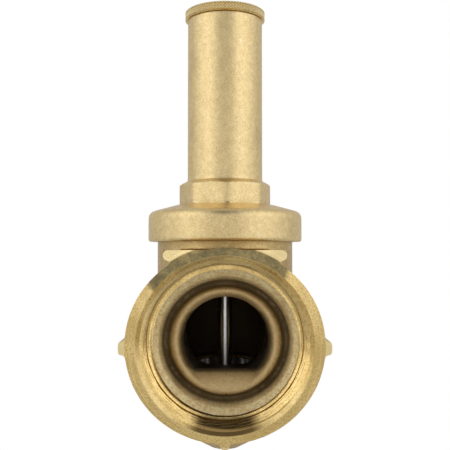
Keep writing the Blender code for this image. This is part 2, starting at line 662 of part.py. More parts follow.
def build():
    remove_everything()
    cast_brass = material("cast_brass", (0.60, 0.44, 0.20), 0.42, 1.0)
    brass = material("machined_brass", (0.70, 0.52, 0.25), 0.28, 1.0)
    steel = material("stainless_steel", (0.62, 0.62, 0.60), 0.18, 1.0)
    spring_steel = material("spring_steel", (0.30, 0.31, 0.33), 0.35, 1.0)
    rubber = material("black_rubber", (0.02, 0.02, 0.02), 0.6, 0.0)
    plastic = material("white_ptfe", (0.75, 0.74, 0.70), 0.5, 0.0)
    fibre = material("fibre_gasket", (0.16, 0.10, 0.06), 0.8, 0.0)

    make_valve_body(cast_brass)
    make_seat_ring(steel)
    make_bottom_plug(cast_brass)
    ring("bottom_plug_gasket", PLUG_BORE_R + 0.4, PLUG_COLLAR_R, PLUG_COLLAR_TOP + GAP,
         BOSS_BOTTOM - GAP, fibre, facets=MEDIUM)
    ring("stem_guide_bush", STEM_BORE_R, GUIDE_R, GUIDE_BOTTOM, GUIDE_TOP, plastic, facets=COARSE)
    make_bonnet(cast_brass)
    ring("bonnet_gasket", NECK_THREAD_R + GAP, GASKET_SEAT_R - GAP, GASKET_SEAT + GAP,
         FLANGE_BOTTOM - GAP, fibre, facets=FINE)
    make_cylinder_liner(brass)
    groove_low, groove_high = LINER_GROOVE
    o_ring("liner_o_ring", (LINER_GROOVE_R + LINER_SEAT_R) / 2, 0.65, (groove_low + groove_high) / 2, rubber)
    make_valve_stem(steel)
    make_disc_stack(brass, steel, rubber)
    make_piston_stack(brass, steel, rubber, plastic)
    make_main_spring(spring_steel)
    make_adjuster(brass, steel)
    make_knurled_cap(brass)


build()
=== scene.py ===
"""Looks for a cast-brass pressure-reducing valve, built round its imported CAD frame.

Lengths are in millimetres until a mesh is made. Heights are counted from the port axis, as in the CAD;
install() lifts a finished mesh to the row frame, where every piece's origin stays at the frame's origin.
"""

import json
from math import cos, pi, radians, sin, sqrt, tan

import bmesh
import bpy
import numpy as np
from mathutils import Matrix, Vector, noise


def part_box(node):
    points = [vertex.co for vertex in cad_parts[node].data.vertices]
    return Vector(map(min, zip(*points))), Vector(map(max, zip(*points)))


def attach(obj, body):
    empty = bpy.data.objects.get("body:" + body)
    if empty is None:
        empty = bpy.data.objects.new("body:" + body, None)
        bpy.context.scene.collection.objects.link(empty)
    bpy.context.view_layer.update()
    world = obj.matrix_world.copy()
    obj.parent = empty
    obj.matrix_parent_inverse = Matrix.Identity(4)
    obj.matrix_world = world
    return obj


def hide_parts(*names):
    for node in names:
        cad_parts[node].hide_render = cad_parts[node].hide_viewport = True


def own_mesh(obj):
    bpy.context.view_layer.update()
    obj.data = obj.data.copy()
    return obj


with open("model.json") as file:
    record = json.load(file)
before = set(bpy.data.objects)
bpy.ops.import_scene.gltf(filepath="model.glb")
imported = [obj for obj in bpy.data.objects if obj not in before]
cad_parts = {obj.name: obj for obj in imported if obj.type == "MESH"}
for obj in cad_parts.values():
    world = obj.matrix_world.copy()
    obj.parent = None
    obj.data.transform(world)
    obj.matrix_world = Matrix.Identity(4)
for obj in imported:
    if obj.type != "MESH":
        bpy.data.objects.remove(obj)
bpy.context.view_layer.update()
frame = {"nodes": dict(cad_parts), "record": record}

BODY_OF = {node: body for body, nodes in frame["record"]["behaviour"]["bodies"].items() for node in nodes}
MM = 0.001


def box_mm(node):
    low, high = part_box(node)
    return low / MM, high / MM


# -------------------- sizes read from the frame

BODY_LOW, BODY_HIGH = box_mm("valve_body")
BONNET_LOW, BONNET_HIGH = box_mm("bonnet")
CAP_LOW, CAP_HIGH = box_mm("knurled_cap")
PLUG_LOW, PLUG_HIGH = box_mm("bottom_plug")
SPRING_LOW, SPRING_HIGH = box_mm("main_spring")

BOSS_BOTTOM = -44.0
PORT_AXIS = BODY_LOW.z - BOSS_BOTTOM      # height of the port axis in the row frame
FACE_Y = BODY_HIGH.y
NECK_TOP = BODY_HIGH.z - PORT_AXIS
CAP_TOP = CAP_HIGH.z - PORT_AXIS
BARREL_TOP = BONNET_HIGH.z - PORT_AXIS
SKIRT_BOTTOM = BONNET_LOW.z - PORT_AXIS
FLANGE_R = BONNET_HIGH.x
CAP_R = CAP_HIGH.x

# -------------------- sizes of the castings

SOCKET_R = 34.5
SOCKET_LENGTH = 22.0
SOCKET_ROOT = 12.0
SOCKET_SPREAD = 0.008           # shares by which a socket came out wider and less tall than round
SOCKET_SAG = 0.024
SQUAT_FROM_R = 20.0
SQUAT_FULL_R = 30.0
WAIST_R = 30.5
WAIST = 38.0
NECK_R = 29.5
NECK_BOTTOM = 17.0
GLOBE_R = 36.0
GLOBE_TOP = -6.0
GLOBE_WIDEST = -16.0
GLOBE_DROP = 24.0
BOSS_R = 19.0
CHAMFER_R = 31.0
CHAMFER_END_R = 29.75
CHAMFER_DEPTH = 1.25
THREAD_PITCH = 2.309
THREAD_MINOR_R = 28.35
THREAD_MAJOR_R = 29.8
THREAD_END = 13.0
SHOULDER_DEPTH = 14.0
CORE_R = 27.2
CAST_FACE_R = 24.8
CAST_FACE_DEPTH = 15.3
GROOVE_R = 22.6
GROOVE_DEPTH = 21.2
GROOVE_SAG = 0.05
HOLE_R = 16.0
HOLE_DEPTH = 23.0
LIP_R = 18.9
LIP_DEPTH = 17.0
SILL_DROP = 10.8
SILL_DEPTH = 24.5
PASSAGE_R = 17.0
PASSAGE_DROP = 14.4
PASSAGE_DEPTH = 30.0
OUTLET_PASSAGE_END = 6.0
INLET_PASSAGE_END = 27.5
RAMP_HALF_WIDTH = 15.0
RAMP_HALF_HEIGHT = 9.0
OVERSHOOT = 4.0                 # blanks reach this far past a face that is machined later
MACHINING_CLEAR = OVERSHOOT + 1.0
CORE_SHIFT = (0.3, -0.4)        # how far the cores sat off the port axis, to +X and up
PARTITION_TOP = -14.0
PARTITION_BOTTOM = -22.0
SEAT_HOLE_R = 13.4
CHAMBER_R = 17.5
CHAMBER_TOP = 16.0
LINER_SEAT_R = 23.2
NECK_THREAD_R = 26.0
NECK_THREAD_BOTTOM = 21.0
GASKET_SEAT_R = 28.8
GASKET_SEAT = 35.6
PLUG_BORE_R = 14.6
PLUG_BORE_TOP = -39.0
EAR_HALF_WIDTH = 21.7
EAR_BOTTOM = 29.3
EAR_TOP = 33.0
EAR_ROOT = 24.0
SIDE_RIB_Z = -0.9
SIDE_RIB_HEIGHT = 4.6
SIDE_RIB_R = 37.0
FOOT_RIB_R = 35.7
FOOT_RIB_WIDTH = 2.9

FLANGE_BOTTOM = 36.9
FLANGE_RIM_TOP = 49.5
FLANGE_TOP = 53.2
OCTAGON_FLATS = 38.0
OCTAGON_CORNER_R = 20.0
OCTAGON_TOP = 61.5
OCTAGON_TURN = radians(3)
BARREL_R = 16.4
BARREL_BASE = 63.4
BARREL_BORE_R = 13.2
SKIRT_R = 25.7
SKIRT_BORE_R = 22.7
SPRING_ROOF = 40.5

# -------------------- sizes of the plug, cap and fittings

PLUG_FLATS = 24.0
PLUG_TURN = radians(12)
PLUG_FACE_R = 6.0
PLUG_HEXAGON_R = 14.1
PLUG_HEXAGON_TOP = -46.15
PLUG_CONE = 4.4
PLUG_THREAD_R = 14.3
PLUG_COLLAR = (-46.1, -45.3)
PLUG_GUIDE_R = 5.3
PLUG_RELIEF_R = 3.6
PLUG_RELIEF_FLOOR = -48.6

CAP_BOTTOM = BARREL_TOP + 0.12
CAP_BORE_R = 4.3
CAP_EDGE = 0.5
CAP_RECESS_R = 9.2
CAP_RECESS_FLOOR = 136.7
CAP_WEB_BOTTOM = 134.5
SPIGOT_R = 12.9
SPIGOT_BORE_R = 10.0
KNURL_BOTTOM = CAP_BOTTOM + 0.35
KNURL_TOP = CAP_TOP - 0.4
KNURL_GROOVES = 90
KNURL_DEPTH = 0.42
KNURL_ROWS = 34

WIRE_R = 1.6
CLOSED_PITCH = 3.6
OPEN_TURNS = 9
SPINDLE_R = 4.0
SPINDLE_PITCH = 1.25
SPINDLE_GROOVE = 0.55
SPINDLE_THREAD = (117.0, 141.2)
STEM_NUT_FLATS = 10.0
STEM_NUT_BORE_R = 3.3
CAP_NUT_FLATS = 13.0
CAP_NUT_BORE_R = 4.3

# -------------------- studio, in metres and radians

FLOOR_HALF_WIDTH = 3.0
FLOOR_HEIGHT = -0.35
LAMP_X = 0.75
LAMP_Y = -0.62
LAMP_Z = 0.30
LAMP_AIM_Z = 0.09
CAMERA_DISTANCE = 0.330
CAMERA_RISE = 32.0              # millimetres over the port axis
CAMERA_TILT = radians(92.14)
GAP_HALF_WIDTH = 0.07           # half the angle of the tent's gap, low down
GAP_SPREAD = 1.1
GAP_WIDEST = 0.48
GAP_BRIGHT = 0.50
LOW_GAP_BRIGHT = 1.08
SIDE_BRIGHT = 1.10
LOW_SIDE_BRIGHT = 0.62
BACK_BRIGHT = 0.58
ROOF_BRIGHT = 0.60
FRONT_ROOF_BRIGHT = 0.20


# -------------------- outlines

def softened(points, steps=4, longest=None):
    """Turn (radius, height, fillet) corners into a closed outline, rounded at each filleted corner."""
    outline = []
    count = len(points)
    for i, (r, h, fillet) in enumerate(points):
        here = Vector((r, h))
        before = Vector(points[i - 1][:2]) - here
        after = Vector(points[(i + 1) % count][:2]) - here
        opening = before.angle(after, pi)
        if fillet <= 0.0 or opening > radians(177):
            outline.append((r, h))
            continue
        reach = min(fillet / tan(opening / 2), before.length * 0.48, after.length * 0.48)
        start = here + before.normalized() * reach
        end = here + after.normalized() * reach
        for k in range(steps + 1):
            t = k / steps
            point = start * (1 - t) ** 2 + here * 2 * t * (1 - t) + end * t ** 2
            outline.append((point.x, point.y))
    return outline if longest is None else divided(outline, longest)


def divided(outline, longest):
    """Split every side of a closed outline that is longer than a given length."""
    dense = []
    for i, start in enumerate(outline):
        end = outline[(i + 1) % len(outline)]
        length = Vector((end[0] - start[0], end[1] - start[1])).length
        parts = max(1, int(np.ceil(length / longest)))
        for k in range(parts):
            t = k / parts
            dense.append((start[0] + (end[0] - start[0]) * t, start[1] + (end[1] - start[1]) * t))
    return dense


def arc(centre, radius, start, end, steps):
    angles = [radians(start + (end - start) * i / steps) for i in range(steps + 1)]
    return [(centre[0] + radius * cos(a), centre[1] + radius * sin(a)) for a in angles]


def eased(low, high, steps):
    """An S-curve between two points: the first value swings over while the second runs evenly."""
    run = []
    for i in range(steps + 1):
        t = i / steps
        swing = (1 - cos(pi * t)) / 2
        run.append((low[0] + (high[0] - low[0]) * swing, low[1] + (high[1] - low[1]) * t))
    return run


# -------------------- meshes

def place_in_scene(name, data):
    made = bpy.data.objects.new(name, data)
    bpy.context.scene.collection.objects.link(made)
    return made


def new_object(name, mesh, look):
    mesh.materials.append(look)
    return place_in_scene(name, mesh)


def lathe(name, outline, look, facets=128, axis="Z", shaper=None, centre=(0.0, 0.0)):
    """Sweep an outline round an axis; shaper may change the radii at each angle.

    An outline that touches the axis is capped there; any other one closes into a ring.
    """
    radii = np.array([p[0] for p in outline])
    heights = np.array([p[1] for p in outline])
    angles = np.arange(facets) * 2 * pi / facets
    r = np.tile(radii, (facets, 1))
    h = np.tile(heights, (facets, 1))
    if shaper is not None:
        r = shaper(angles[:, None], r, h)
    x = r * np.cos(angles)[:, None] + centre[0]
    y = r * np.sin(angles)[:, None] + centre[1]
    capped = radii[0] < 1e-6 and radii[-1] < 1e-6
    if capped:
        x, y, h = x[:, 1:-1], y[:, 1:-1], h[:, 1:-1]
    rows = x.shape[1]
    points = np.stack([x, y, h], axis=-1).reshape(-1, 3) * MM
    faces = []
    last_row = rows - 1 if capped else rows
    for i in range(facets):
        j = (i + 1) % facets
        for k in range(last_row):
            m = (k + 1) % rows
            faces.append((i * rows + k, j * rows + k, j * rows + m, i * rows + m))
    if capped:
        faces.append(tuple(i * rows for i in reversed(range(facets))))
        faces.append(tuple(i * rows + rows - 1 for i in range(facets)))
    return finish_mesh(name, points, faces, look, axis)


def finish_mesh(name, points, faces, look, axis="Z"):
    """Make an object of points in metres, turned from Z to its axis; its faces are set to point out."""
    mesh = bpy.data.meshes.new(name)
    mesh.from_pydata([tuple(p) for p in points], [], faces)
    turn = {"Z": 0.0, "-Y": pi / 2, "+Y": -pi / 2}[axis]
    mesh.transform(Matrix.Rotation(turn, 4, "X"))
    shape = bmesh.new()
    shape.from_mesh(mesh)
    bmesh.ops.recalc_face_normals(shape, faces=shape.faces)
    shape.to_mesh(mesh)
    shape.free()
    return new_object(name, mesh, look)


def loft(name, sections, look):
    """Join rings of points in millimetres and cap both ends."""
    size = len(sections[0])
    points = [Vector(p) * MM for ring in sections for p in ring]
    faces = []
    for row in range(len(sections) - 1):
        for i in range(size):
            j = (i + 1) % size
            faces.append((row * size + i, row * size + j, (row + 1) * size + j, (row + 1) * size + i))
    faces.append(tuple(reversed(range(size))))
    faces.append(tuple(range((len(sections) - 1) * size, len(sections) * size)))
    return finish_mesh(name, points, faces, look)


def bake(thing):
    """Replace an object's mesh by its evaluated one, and drop its modifiers."""
    graph = bpy.context.evaluated_depsgraph_get()
    mesh = bpy.data.meshes.new_from_object(thing.evaluated_get(graph), depsgraph=graph)
    thing.modifiers.clear()
    thing.data = mesh


def join_solids(target, tools, operation):
    """Unite tools with a solid or cut them from it; faces keep their own materials."""
    for tool in tools:
        step = target.modifiers.new("join", "BOOLEAN")
        step.operation = operation
        step.solver = "MANIFOLD"
        step.material_mode = "TRANSFER"
        step.object = tool
    bake(target)
    for tool in tools:
        bpy.data.objects.remove(tool)


def cast_surface(thing, voxel, rounds):
    """Remesh to one even skin, then relax it so that inner corners fill and edges soften."""
    skin = thing.modifiers.new("skin", "REMESH")
    skin.mode = "VOXEL"
    skin.voxel_size = voxel * MM
    soft = thing.modifiers.new("soft", "SMOOTH")
    soft.factor = 0.5
    soft.iterations = rounds
    bake(thing)


def roughen(thing, depth, size, seed):
    """Push a casting's skin in and out a little, as sand moulds do."""
    mesh = thing.data
    count = len(mesh.vertices)
    places = np.empty(count * 3)
    normals = np.empty(count * 3)
    mesh.vertices.foreach_get("co", places)
    mesh.vertices.foreach_get("normal", normals)
    places = places.reshape(-1, 3)
    normals = normals.reshape(-1, 3)
    drift = Vector((seed * 7.3, seed * 3.1, seed * 5.7))
    waves = np.empty(count)
    for i, place in enumerate(places):
        spot = Vector(place) / (size * MM) + drift
        waves[i] = noise.noise(spot) + 0.5 * noise.noise(spot * 2.7)
    places += normals * (waves * depth * MM)[:, None]
    mesh.vertices.foreach_set("co", places.ravel())
    mesh.update()


def paint(thing, look, chosen):
    """Give another material to the faces that a test picks."""
    thing.data.materials.append(look)
    slot = len(thing.data.materials) - 1
    for face in thing.data.polygons:
        if chosen(face):
            face.material_index = slot


def install(thing, node, crease=38.0):
    """Finish a piece and lift it to the row frame, where it stands for a CAD node and rides on its body.

    Shading is smooth with sharp creases, and flats stay flat beside small fillets.
    """
    thing.data.shade_smooth()
    thing.data.set_sharp_from_angle(angle=radians(crease))
    weighted = thing.modifiers.new("weighted_normals", "WEIGHTED_NORMAL")
    weighted.keep_sharp = True
    thing.data.transform(Matrix.Translation((0.0, 0.0, PORT_AXIS * MM)))
    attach(thing, BODY_OF[node])
    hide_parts(node)


# -------------------- materials

class Nodes:
    """A node tree whose nodes are added one line at a time."""

    def __init__(self, tree):
        self.tree = tree

    def put(self, socket, value):
        if isinstance(value, bpy.types.NodeSocket):
            self.tree.links.new(value, socket)
        elif socket.type == "RGBA":
            socket.default_value = (*value, 1.0)
        else:
            socket.default_value = value

    def add(self, kind, inputs, **settings):
        made = self.tree.nodes.new(kind)
        for key, value in settings.items():
            setattr(made, key, value)
        for key, value in inputs.items():
            self.put(made.inputs[key], value)
        return made

    def math(self, operation, first, second=0.0):
        return self.add("ShaderNodeMath", {0: first, 1: second}, operation=operation).outputs[0]

    def plus(self, first, second):
        return self.math("ADD", first, second)

    def minus(self, first, second):
        return self.math("SUBTRACT", first, second)

    def times(self, first, second):
        return self.math("MULTIPLY", first, second)

    def absolute(self, value):
        return self.math("ABSOLUTE", value)

    def hypotenuse(self, first, second):
        return self.math("SQRT", self.plus(self.times(first, first), self.times(second, second)))

    def ramp(self, value, low, high, to_low=0.0, to_high=1.0, kind="LINEAR"):
        inputs = {"Value": value, "From Min": low, "From Max": high, "To Min": to_low, "To Max": to_high}
        return self.add("ShaderNodeMapRange", inputs, interpolation_type=kind).outputs["Result"]

    def split(self, vector):
        return self.add("ShaderNodeSeparateXYZ", {"Vector": vector}).outputs[:]

    def show_camera(self, seen, otherwise, output):
        """End the tree with one shader for the camera and another for light and reflections."""
        camera_ray = self.add("ShaderNodeLightPath", {}).outputs["Is Camera Ray"]
        mix = self.add("ShaderNodeMixShader", {0: camera_ray, 1: otherwise, 2: seen})
        self.put(self.tree.nodes[output].inputs["Surface"], mix.outputs[0])


class Graph(Nodes):
    """A Principled material; its place is in millimetres from where the stem and port axes cross."""

    def __init__(self, name):
        self.material = bpy.data.materials.new(name)
        self.material.use_nodes = True
        super().__init__(self.material.node_tree)
        self.shader = self.tree.nodes["Principled BSDF"]
        metres = self.add("ShaderNodeTexCoord", {}).outputs["Object"]
        place = self.vector("MULTIPLY", metres, (1 / MM, 1 / MM, 1 / MM))
        self.place = self.vector("SUBTRACT", place, (0.0, 0.0, PORT_AXIS))

    def vector(self, operation, first, second):
        made = self.add("ShaderNodeVectorMath", {0: first, 1: second}, operation=operation)
        return made.outputs[0]

    def noise(self, per_mm, detail=2.0, roughness=0.5, place=None):
        inputs = {"Vector": place or self.place, "Scale": per_mm, "Detail": detail, "Roughness": roughness}
        return self.add("ShaderNodeTexNoise", inputs).outputs["Fac"]

    def blend(self, share, first, second):
        made = self.add("ShaderNodeMix", {"Factor": share}, data_type="RGBA")
        self.put(made.inputs[6], first)
        self.put(made.inputs[7], second)
        return made.outputs[2]

    def hollows(self, reach_mm, samples):
        """Near 1 in the open and near 0 in corners narrower than the reach."""
        inputs = {"Distance": reach_mm * MM}
        return self.add("ShaderNodeAmbientOcclusion", inputs, samples=samples).outputs["AO"]

    def bump(self, height, depth_mm, strength, normal=None):
        inputs = {"Height": height, "Distance": depth_mm * MM, "Strength": strength}
        if normal is not None:
            inputs["Normal"] = normal
        return self.add("ShaderNodeBump", inputs).outputs["Normal"]

    def close(self, colour, roughness, metallic=1.0, normal=None):
        self.put(self.shader.inputs["Base Color"], colour)
        self.put(self.shader.inputs["Roughness"], roughness)
        self.put(self.shader.inputs["Metallic"], metallic)
        if normal is not None:
            self.put(self.shader.inputs["Normal"], normal)
        return self.material


WHITE = (1.0, 1.0, 1.0)
BRASS_LIGHT = (0.95, 0.76, 0.41)
BRASS_MID = (0.74, 0.55, 0.26)
BRASS_BROWN = (0.34, 0.20, 0.06)
BRASS_SCRATCH = (1.0, 0.90, 0.66)
SKIN_LIGHT = (0.72, 0.54, 0.26)
SKIN_DARK = (0.50, 0.35, 0.14)
DULL_LIGHT = (0.70, 0.52, 0.28)
DULL_DARK = (0.42, 0.29, 0.13)
CORE_LIGHT = (1.0, 0.86, 0.50)
CORE_DARK = (0.78, 0.58, 0.28)
# Painted shade for the ports: CORE_LIP over the lip, CORE_VALLEY in the valley, CORE_BLACK behind the lip.
CORE_LIP = (0.60, 0.40, 0.17)
CORE_VALLEY = (0.11, 0.07, 0.026)
CORE_BLACK = (0.11, 0.075, 0.038)
FLASH_LIGHT = (1.0, 0.85, 0.55)
FLASH_DARK = (0.16, 0.10, 0.04)
CUT_LIGHT = (0.93, 0.68, 0.28)
CUT_MID = (0.74, 0.53, 0.20)
CUT_SPECK = (0.50, 0.34, 0.13)
CUT_SHINE = (1.0, 0.82, 0.44)
CROWN_TARNISH = (0.16, 0.135, 0.07)
# Painted shade for the port's thread.
THREAD_SHADE = (0.18, 0.11, 0.04)


def cast_brass(name, light=BRASS_LIGHT, dark=BRASS_MID, grain_per_mm=2.4, grain_depth=0.05, tarnish=0.35,
               dullness=0.0, metallic=1.0, hollow_shade=0.7, in_port=False):
    """Tumbled casting: grain, shallow dents, dark pin-holes, and painted shade that browns the hollows.

    In a port, a flash line runs up the middle and painted shade takes the colour to near black behind the
    lips.
    """
    g = Graph(name)
    grain = g.noise(grain_per_mm, detail=3.0, roughness=0.65)
    dents = g.noise(0.45)
    clouds = g.noise(0.07, detail=3.0)
    pits = g.ramp(g.noise(1.1, detail=1.0), 0.68, 0.76, 0.0, 0.35)
    tone = g.plus(g.times(grain, 0.75), g.times(dents, 0.25))
    colour = g.blend(g.ramp(tone, 0.40, 0.60), dark, light)
    colour = g.blend(g.times(hairlines(g), 0.7), colour, BRASS_SCRATCH)
    stain = g.math("MAXIMUM", g.ramp(clouds, 0.52, 0.72, 0.0, tarnish), pits)
    colour = g.blend(stain, colour, BRASS_BROWN)
    # Painted shade: ambient occlusion darkens hollows and corners towards brown.
    hollow = g.hollows(4.0, samples=6)
    colour = g.blend(g.ramp(hollow, 0.2, 0.75, hollow_shade, 0.0), colour, BRASS_BROWN)
    if in_port:
        colour = flash_line(g, colour)
        # Painted shade that deepens into the port.
        colour = darkened_by_depth(g, colour)
    roughness = g.ramp(g.plus(grain, clouds), 0.7, 1.3, 0.44 + dullness, 0.30 + dullness)
    normal = g.bump(dents, 0.10, 0.5)
    normal = g.bump(grain, grain_depth, 0.9, normal)
    return g.close(colour, roughness, metallic, normal)


def hairlines(g):
    """Short fine scratches: thin contour lines of a slow noise, kept only in scattered patches."""
    elsewhere = g.vector("ADD", g.place, (13.0, 21.0, 8.0))
    lines = g.absolute(g.minus(g.noise(0.16, detail=1.5, place=elsewhere), 0.5))
    patches = g.ramp(g.noise(0.22, detail=1.0), 0.50, 0.60)
    return g.times(g.ramp(lines, 0.0, 0.008, 1.0, 0.0), patches)


def flash_line(g, colour):
    """Specks of flash where the two halves of the core met, up the middle of the lip and the sill."""
    x, _, z = g.split(g.place)
    off_middle = g.absolute(g.minus(x, CORE_SHIFT[0]))
    line = g.ramp(off_middle, 0.2, 0.4, 1.0, 0.0)
    on_lip = g.ramp(g.hypotenuse(x, z), LIP_R + 1.6, LIP_R + 3.6, 1.0, 0.0)
    line = g.times(line, on_lip)
    specks = g.noise(0.9)
    dark = g.times(line, g.ramp(specks, 0.52, 0.58))
    light = g.times(line, g.ramp(specks, 0.46, 0.42))
    colour = g.blend(dark, colour, FLASH_DARK)
    return g.blend(light, colour, FLASH_LIGHT)


def darkened_by_depth(g, colour):
    """Painted shade in a port: brown in the valley and over the lip, near black behind it.

    The sill's flat lies further in than the lip, so it darkens later.
    """
    x, y, z = g.split(g.place)
    radius = g.hypotenuse(x, z)
    sill = g.ramp(g.absolute(z), SILL_DROP - 1.3, SILL_DROP + 1.7, 0.0, 2.8)
    sill = g.times(sill, g.ramp(g.absolute(x), 12.0, 15.0, 1.0, 0.0))
    sill = g.times(sill, g.ramp(radius, LIP_R - 0.9, LIP_R + 0.6, 1.0, 0.0))
    depth = g.minus(FACE_Y, g.absolute(y))
    depth = g.minus(depth, sill)
    depth = g.plus(depth, g.times(g.noise(0.5), 0.8))
    colour = g.blend(g.ramp(radius, LIP_R + 0.1, LIP_R + 1.6, 0.6, 0.0), colour, CORE_LIP)
    colour = g.blend(g.ramp(depth, LIP_DEPTH + 0.8, LIP_DEPTH + 3.0, 0.0, 0.78), colour, CORE_VALLEY)
    return g.blend(g.ramp(depth, LIP_DEPTH + 3.5, LIP_DEPTH + 9.5), colour, CORE_BLACK)


def turned_brass(name, axis, is_port=False):
    """Lathe-cut brass: fine rings round the axis, light scratches and a little tarnish."""
    g = Graph(name)
    x, y, z = g.split(g.place)
    up, along = (z, y) if axis == "Y" else (y, z)
    radius = g.hypotenuse(x, up)
    round_axis = g.times(g.math("ARCTAN2", up, x), 0.6)
    feed = g.plus(radius, along)
    cutting = g.add("ShaderNodeCombineXYZ", {"X": feed, "Y": round_axis}).outputs[0]
    rings = g.noise(6.0, roughness=0.7, place=cutting)
    smear = g.noise(1.1, detail=3.0, place=cutting)
    clouds = g.noise(0.12, detail=4.0, roughness=0.6)
    specks = g.noise(1.6, detail=4.0, roughness=0.7)
    colour = g.blend(g.ramp(clouds, 0.42, 0.62), CUT_LIGHT, CUT_MID)
    colour = g.blend(g.ramp(specks, 0.46, 0.62, 0.0, 0.8), colour, CUT_SPECK)
    colour = g.blend(g.ramp(smear, 0.52, 0.70, 0.0, 0.5), colour, CUT_SHINE)
    roughness = g.ramp(g.plus(smear, clouds), 0.7, 1.3, 0.17, 0.34)
    if is_port:
        colour = tarnished_crown(g, colour, x, z, radius, clouds)
        # Painted shade in the thread.
        colour = shaded_thread(g, colour, z, radius)
        in_thread = g.ramp(radius, THREAD_MAJOR_R - 0.2, THREAD_MAJOR_R + 0.2, 0.5, 1.0)
        roughness = g.times(roughness, in_thread)
    return g.close(colour, roughness, normal=g.bump(rings, 0.006, 0.7))


def tarnished_crown(g, colour, x, z, radius, clouds):
    """A port's face is dark along its top, where it was handled least, and bright at its rim: partly wear,
    partly a painted highlight standing in for the rim's small chamfer.
    """
    sideways = g.absolute(g.plus(x, 4.0))
    crown = g.minus(z, g.times(sideways, 0.84))
    crown = g.plus(crown, g.times(clouds, 16.0))
    marbling = g.ramp(g.noise(0.55, detail=5.0, roughness=0.7), 0.40, 0.66, 0.95, 0.65)
    share = g.times(g.ramp(crown, 8.0, 12.0), marbling)
    share = g.times(share, g.ramp(radius, CHAMFER_R - 0.1, CHAMFER_R + 0.2))
    share = g.times(share, g.ramp(radius, SOCKET_R - 0.1, SOCKET_R + 0.3, 1.0, 0.0))
    colour = g.blend(share, colour, CROWN_TARNISH)
    # Painted highlight along the rim, partly wear as well: the rim's small chamfer is not modelled.
    return g.blend(g.ramp(radius, SOCKET_R + 0.1, SOCKET_R + 0.5, 0.0, 0.7), colour, CUT_SHINE)


def shaded_thread(g, colour, z, radius):
    """Painted shade in the thread: a painted dark reflection along its bottom and lighter painted shade
    over its upper half.
    """
    steepness = g.math("DIVIDE", z, radius)
    bottom_shade = g.ramp(steepness, -0.90, -0.95, 0.0, 0.9)
    bottom_shade = g.times(bottom_shade, g.ramp(radius, CHAMFER_R - 0.2, CHAMFER_R + 0.1, 1.0, 0.0))
    bottom_shade = g.times(bottom_shade, g.ramp(radius, THREAD_MINOR_R - 0.45, THREAD_MINOR_R + 0.05))
    upper_shade = g.ramp(steepness, 0.2, 0.8, 0.0, 0.35)
    upper_shade = g.times(upper_shade, g.ramp(radius, THREAD_MAJOR_R - 0.2, THREAD_MAJOR_R + 0.2, 1.0, 0.0))
    return g.blend(g.plus(bottom_shade, upper_shade), colour, THREAD_SHADE)


def plated_steel(name):
    """Plated steel with smudges and faint lengthwise streaks."""
    g = Graph(name)
    stretched = g.vector("MULTIPLY", g.place, (1.0, 1.0, 0.04))
    streaks = g.noise(5.0, place=stretched)
    smudges = g.noise(0.25, detail=3.0)
    roughness = g.ramp(g.plus(streaks, smudges), 0.7, 1.3, 0.16, 0.30)
    colour = g.blend(g.ramp(smudges, 0.4, 0.7), (0.66, 0.66, 0.65), (0.62, 0.62, 0.61))
    return g.close(colour, roughness, normal=g.bump(streaks, 0.002, 0.4))


def ground_steel(name):
    """Stainless ground round the stem's axis: a highlight stays narrow across it and runs far along it."""
    g = Graph(name)
    smudges = g.noise(0.25, detail=3.0)
    tangent = g.add("ShaderNodeTangent", {}, direction_type="RADIAL", axis="Z").outputs[0]
    g.put(g.shader.inputs["Tangent"], tangent)
    g.put(g.shader.inputs["Anisotropic"], 1.0)
    g.put(g.shader.inputs["Anisotropic Rotation"], 0.25)
    return g.close(WHITE, g.ramp(smudges, 0.4, 0.7, 0.22, 0.28))


def knurled_brass(name):
    """A rolled knurl with a random light tone and painted shade that browns its valleys."""
    g = Graph(name)
    hollow = g.hollows(0.6, samples=8)
    grain = g.noise(1.6, detail=3.0)
    colour = g.blend(grain, (1.0, 0.76, 0.38), (1.0, 0.88, 0.52))
    # Painted shade: ambient occlusion browns the knurl's valleys.
    colour = g.blend(g.ramp(hollow, 0.45, 0.9, 0.8, 0.0), colour, (0.34, 0.21, 0.08))
    return g.close(colour, g.ramp(grain, 0.3, 0.7, 0.22, 0.36))


def drawn_wire(name):
    """Oil-hardened spring wire, dark and slightly mottled."""
    g = Graph(name)
    mottle = g.noise(0.9, detail=4.0)
    colour = g.blend(g.ramp(mottle, 0.35, 0.65), (0.14, 0.145, 0.155), (0.30, 0.30, 0.31))
    roughness = g.ramp(mottle, 0.3, 0.7, 0.28, 0.45)
    return g.close(colour, roughness, normal=g.bump(mottle, 0.01, 0.5))


def moulded(name, dark, light, roughness, grain_per_mm):
    """Rubber, PTFE or pressed fibre: a non-metal with a fine grain."""
    g = Graph(name)
    grain = g.noise(grain_per_mm, detail=4.0)
    colour = g.blend(g.ramp(grain, 0.35, 0.65), dark, light)
    spread = g.ramp(grain, 0.3, 0.7, roughness - 0.08, roughness + 0.08)
    return g.close(colour, spread, metallic=0.0, normal=g.bump(grain, 0.01, 0.6))


CAST = cast_brass("cast_brass", tarnish=0.15)
CAST_BODY = cast_brass("cast_brass_body", SKIN_LIGHT, SKIN_DARK, tarnish=0.25, hollow_shade=0.45)
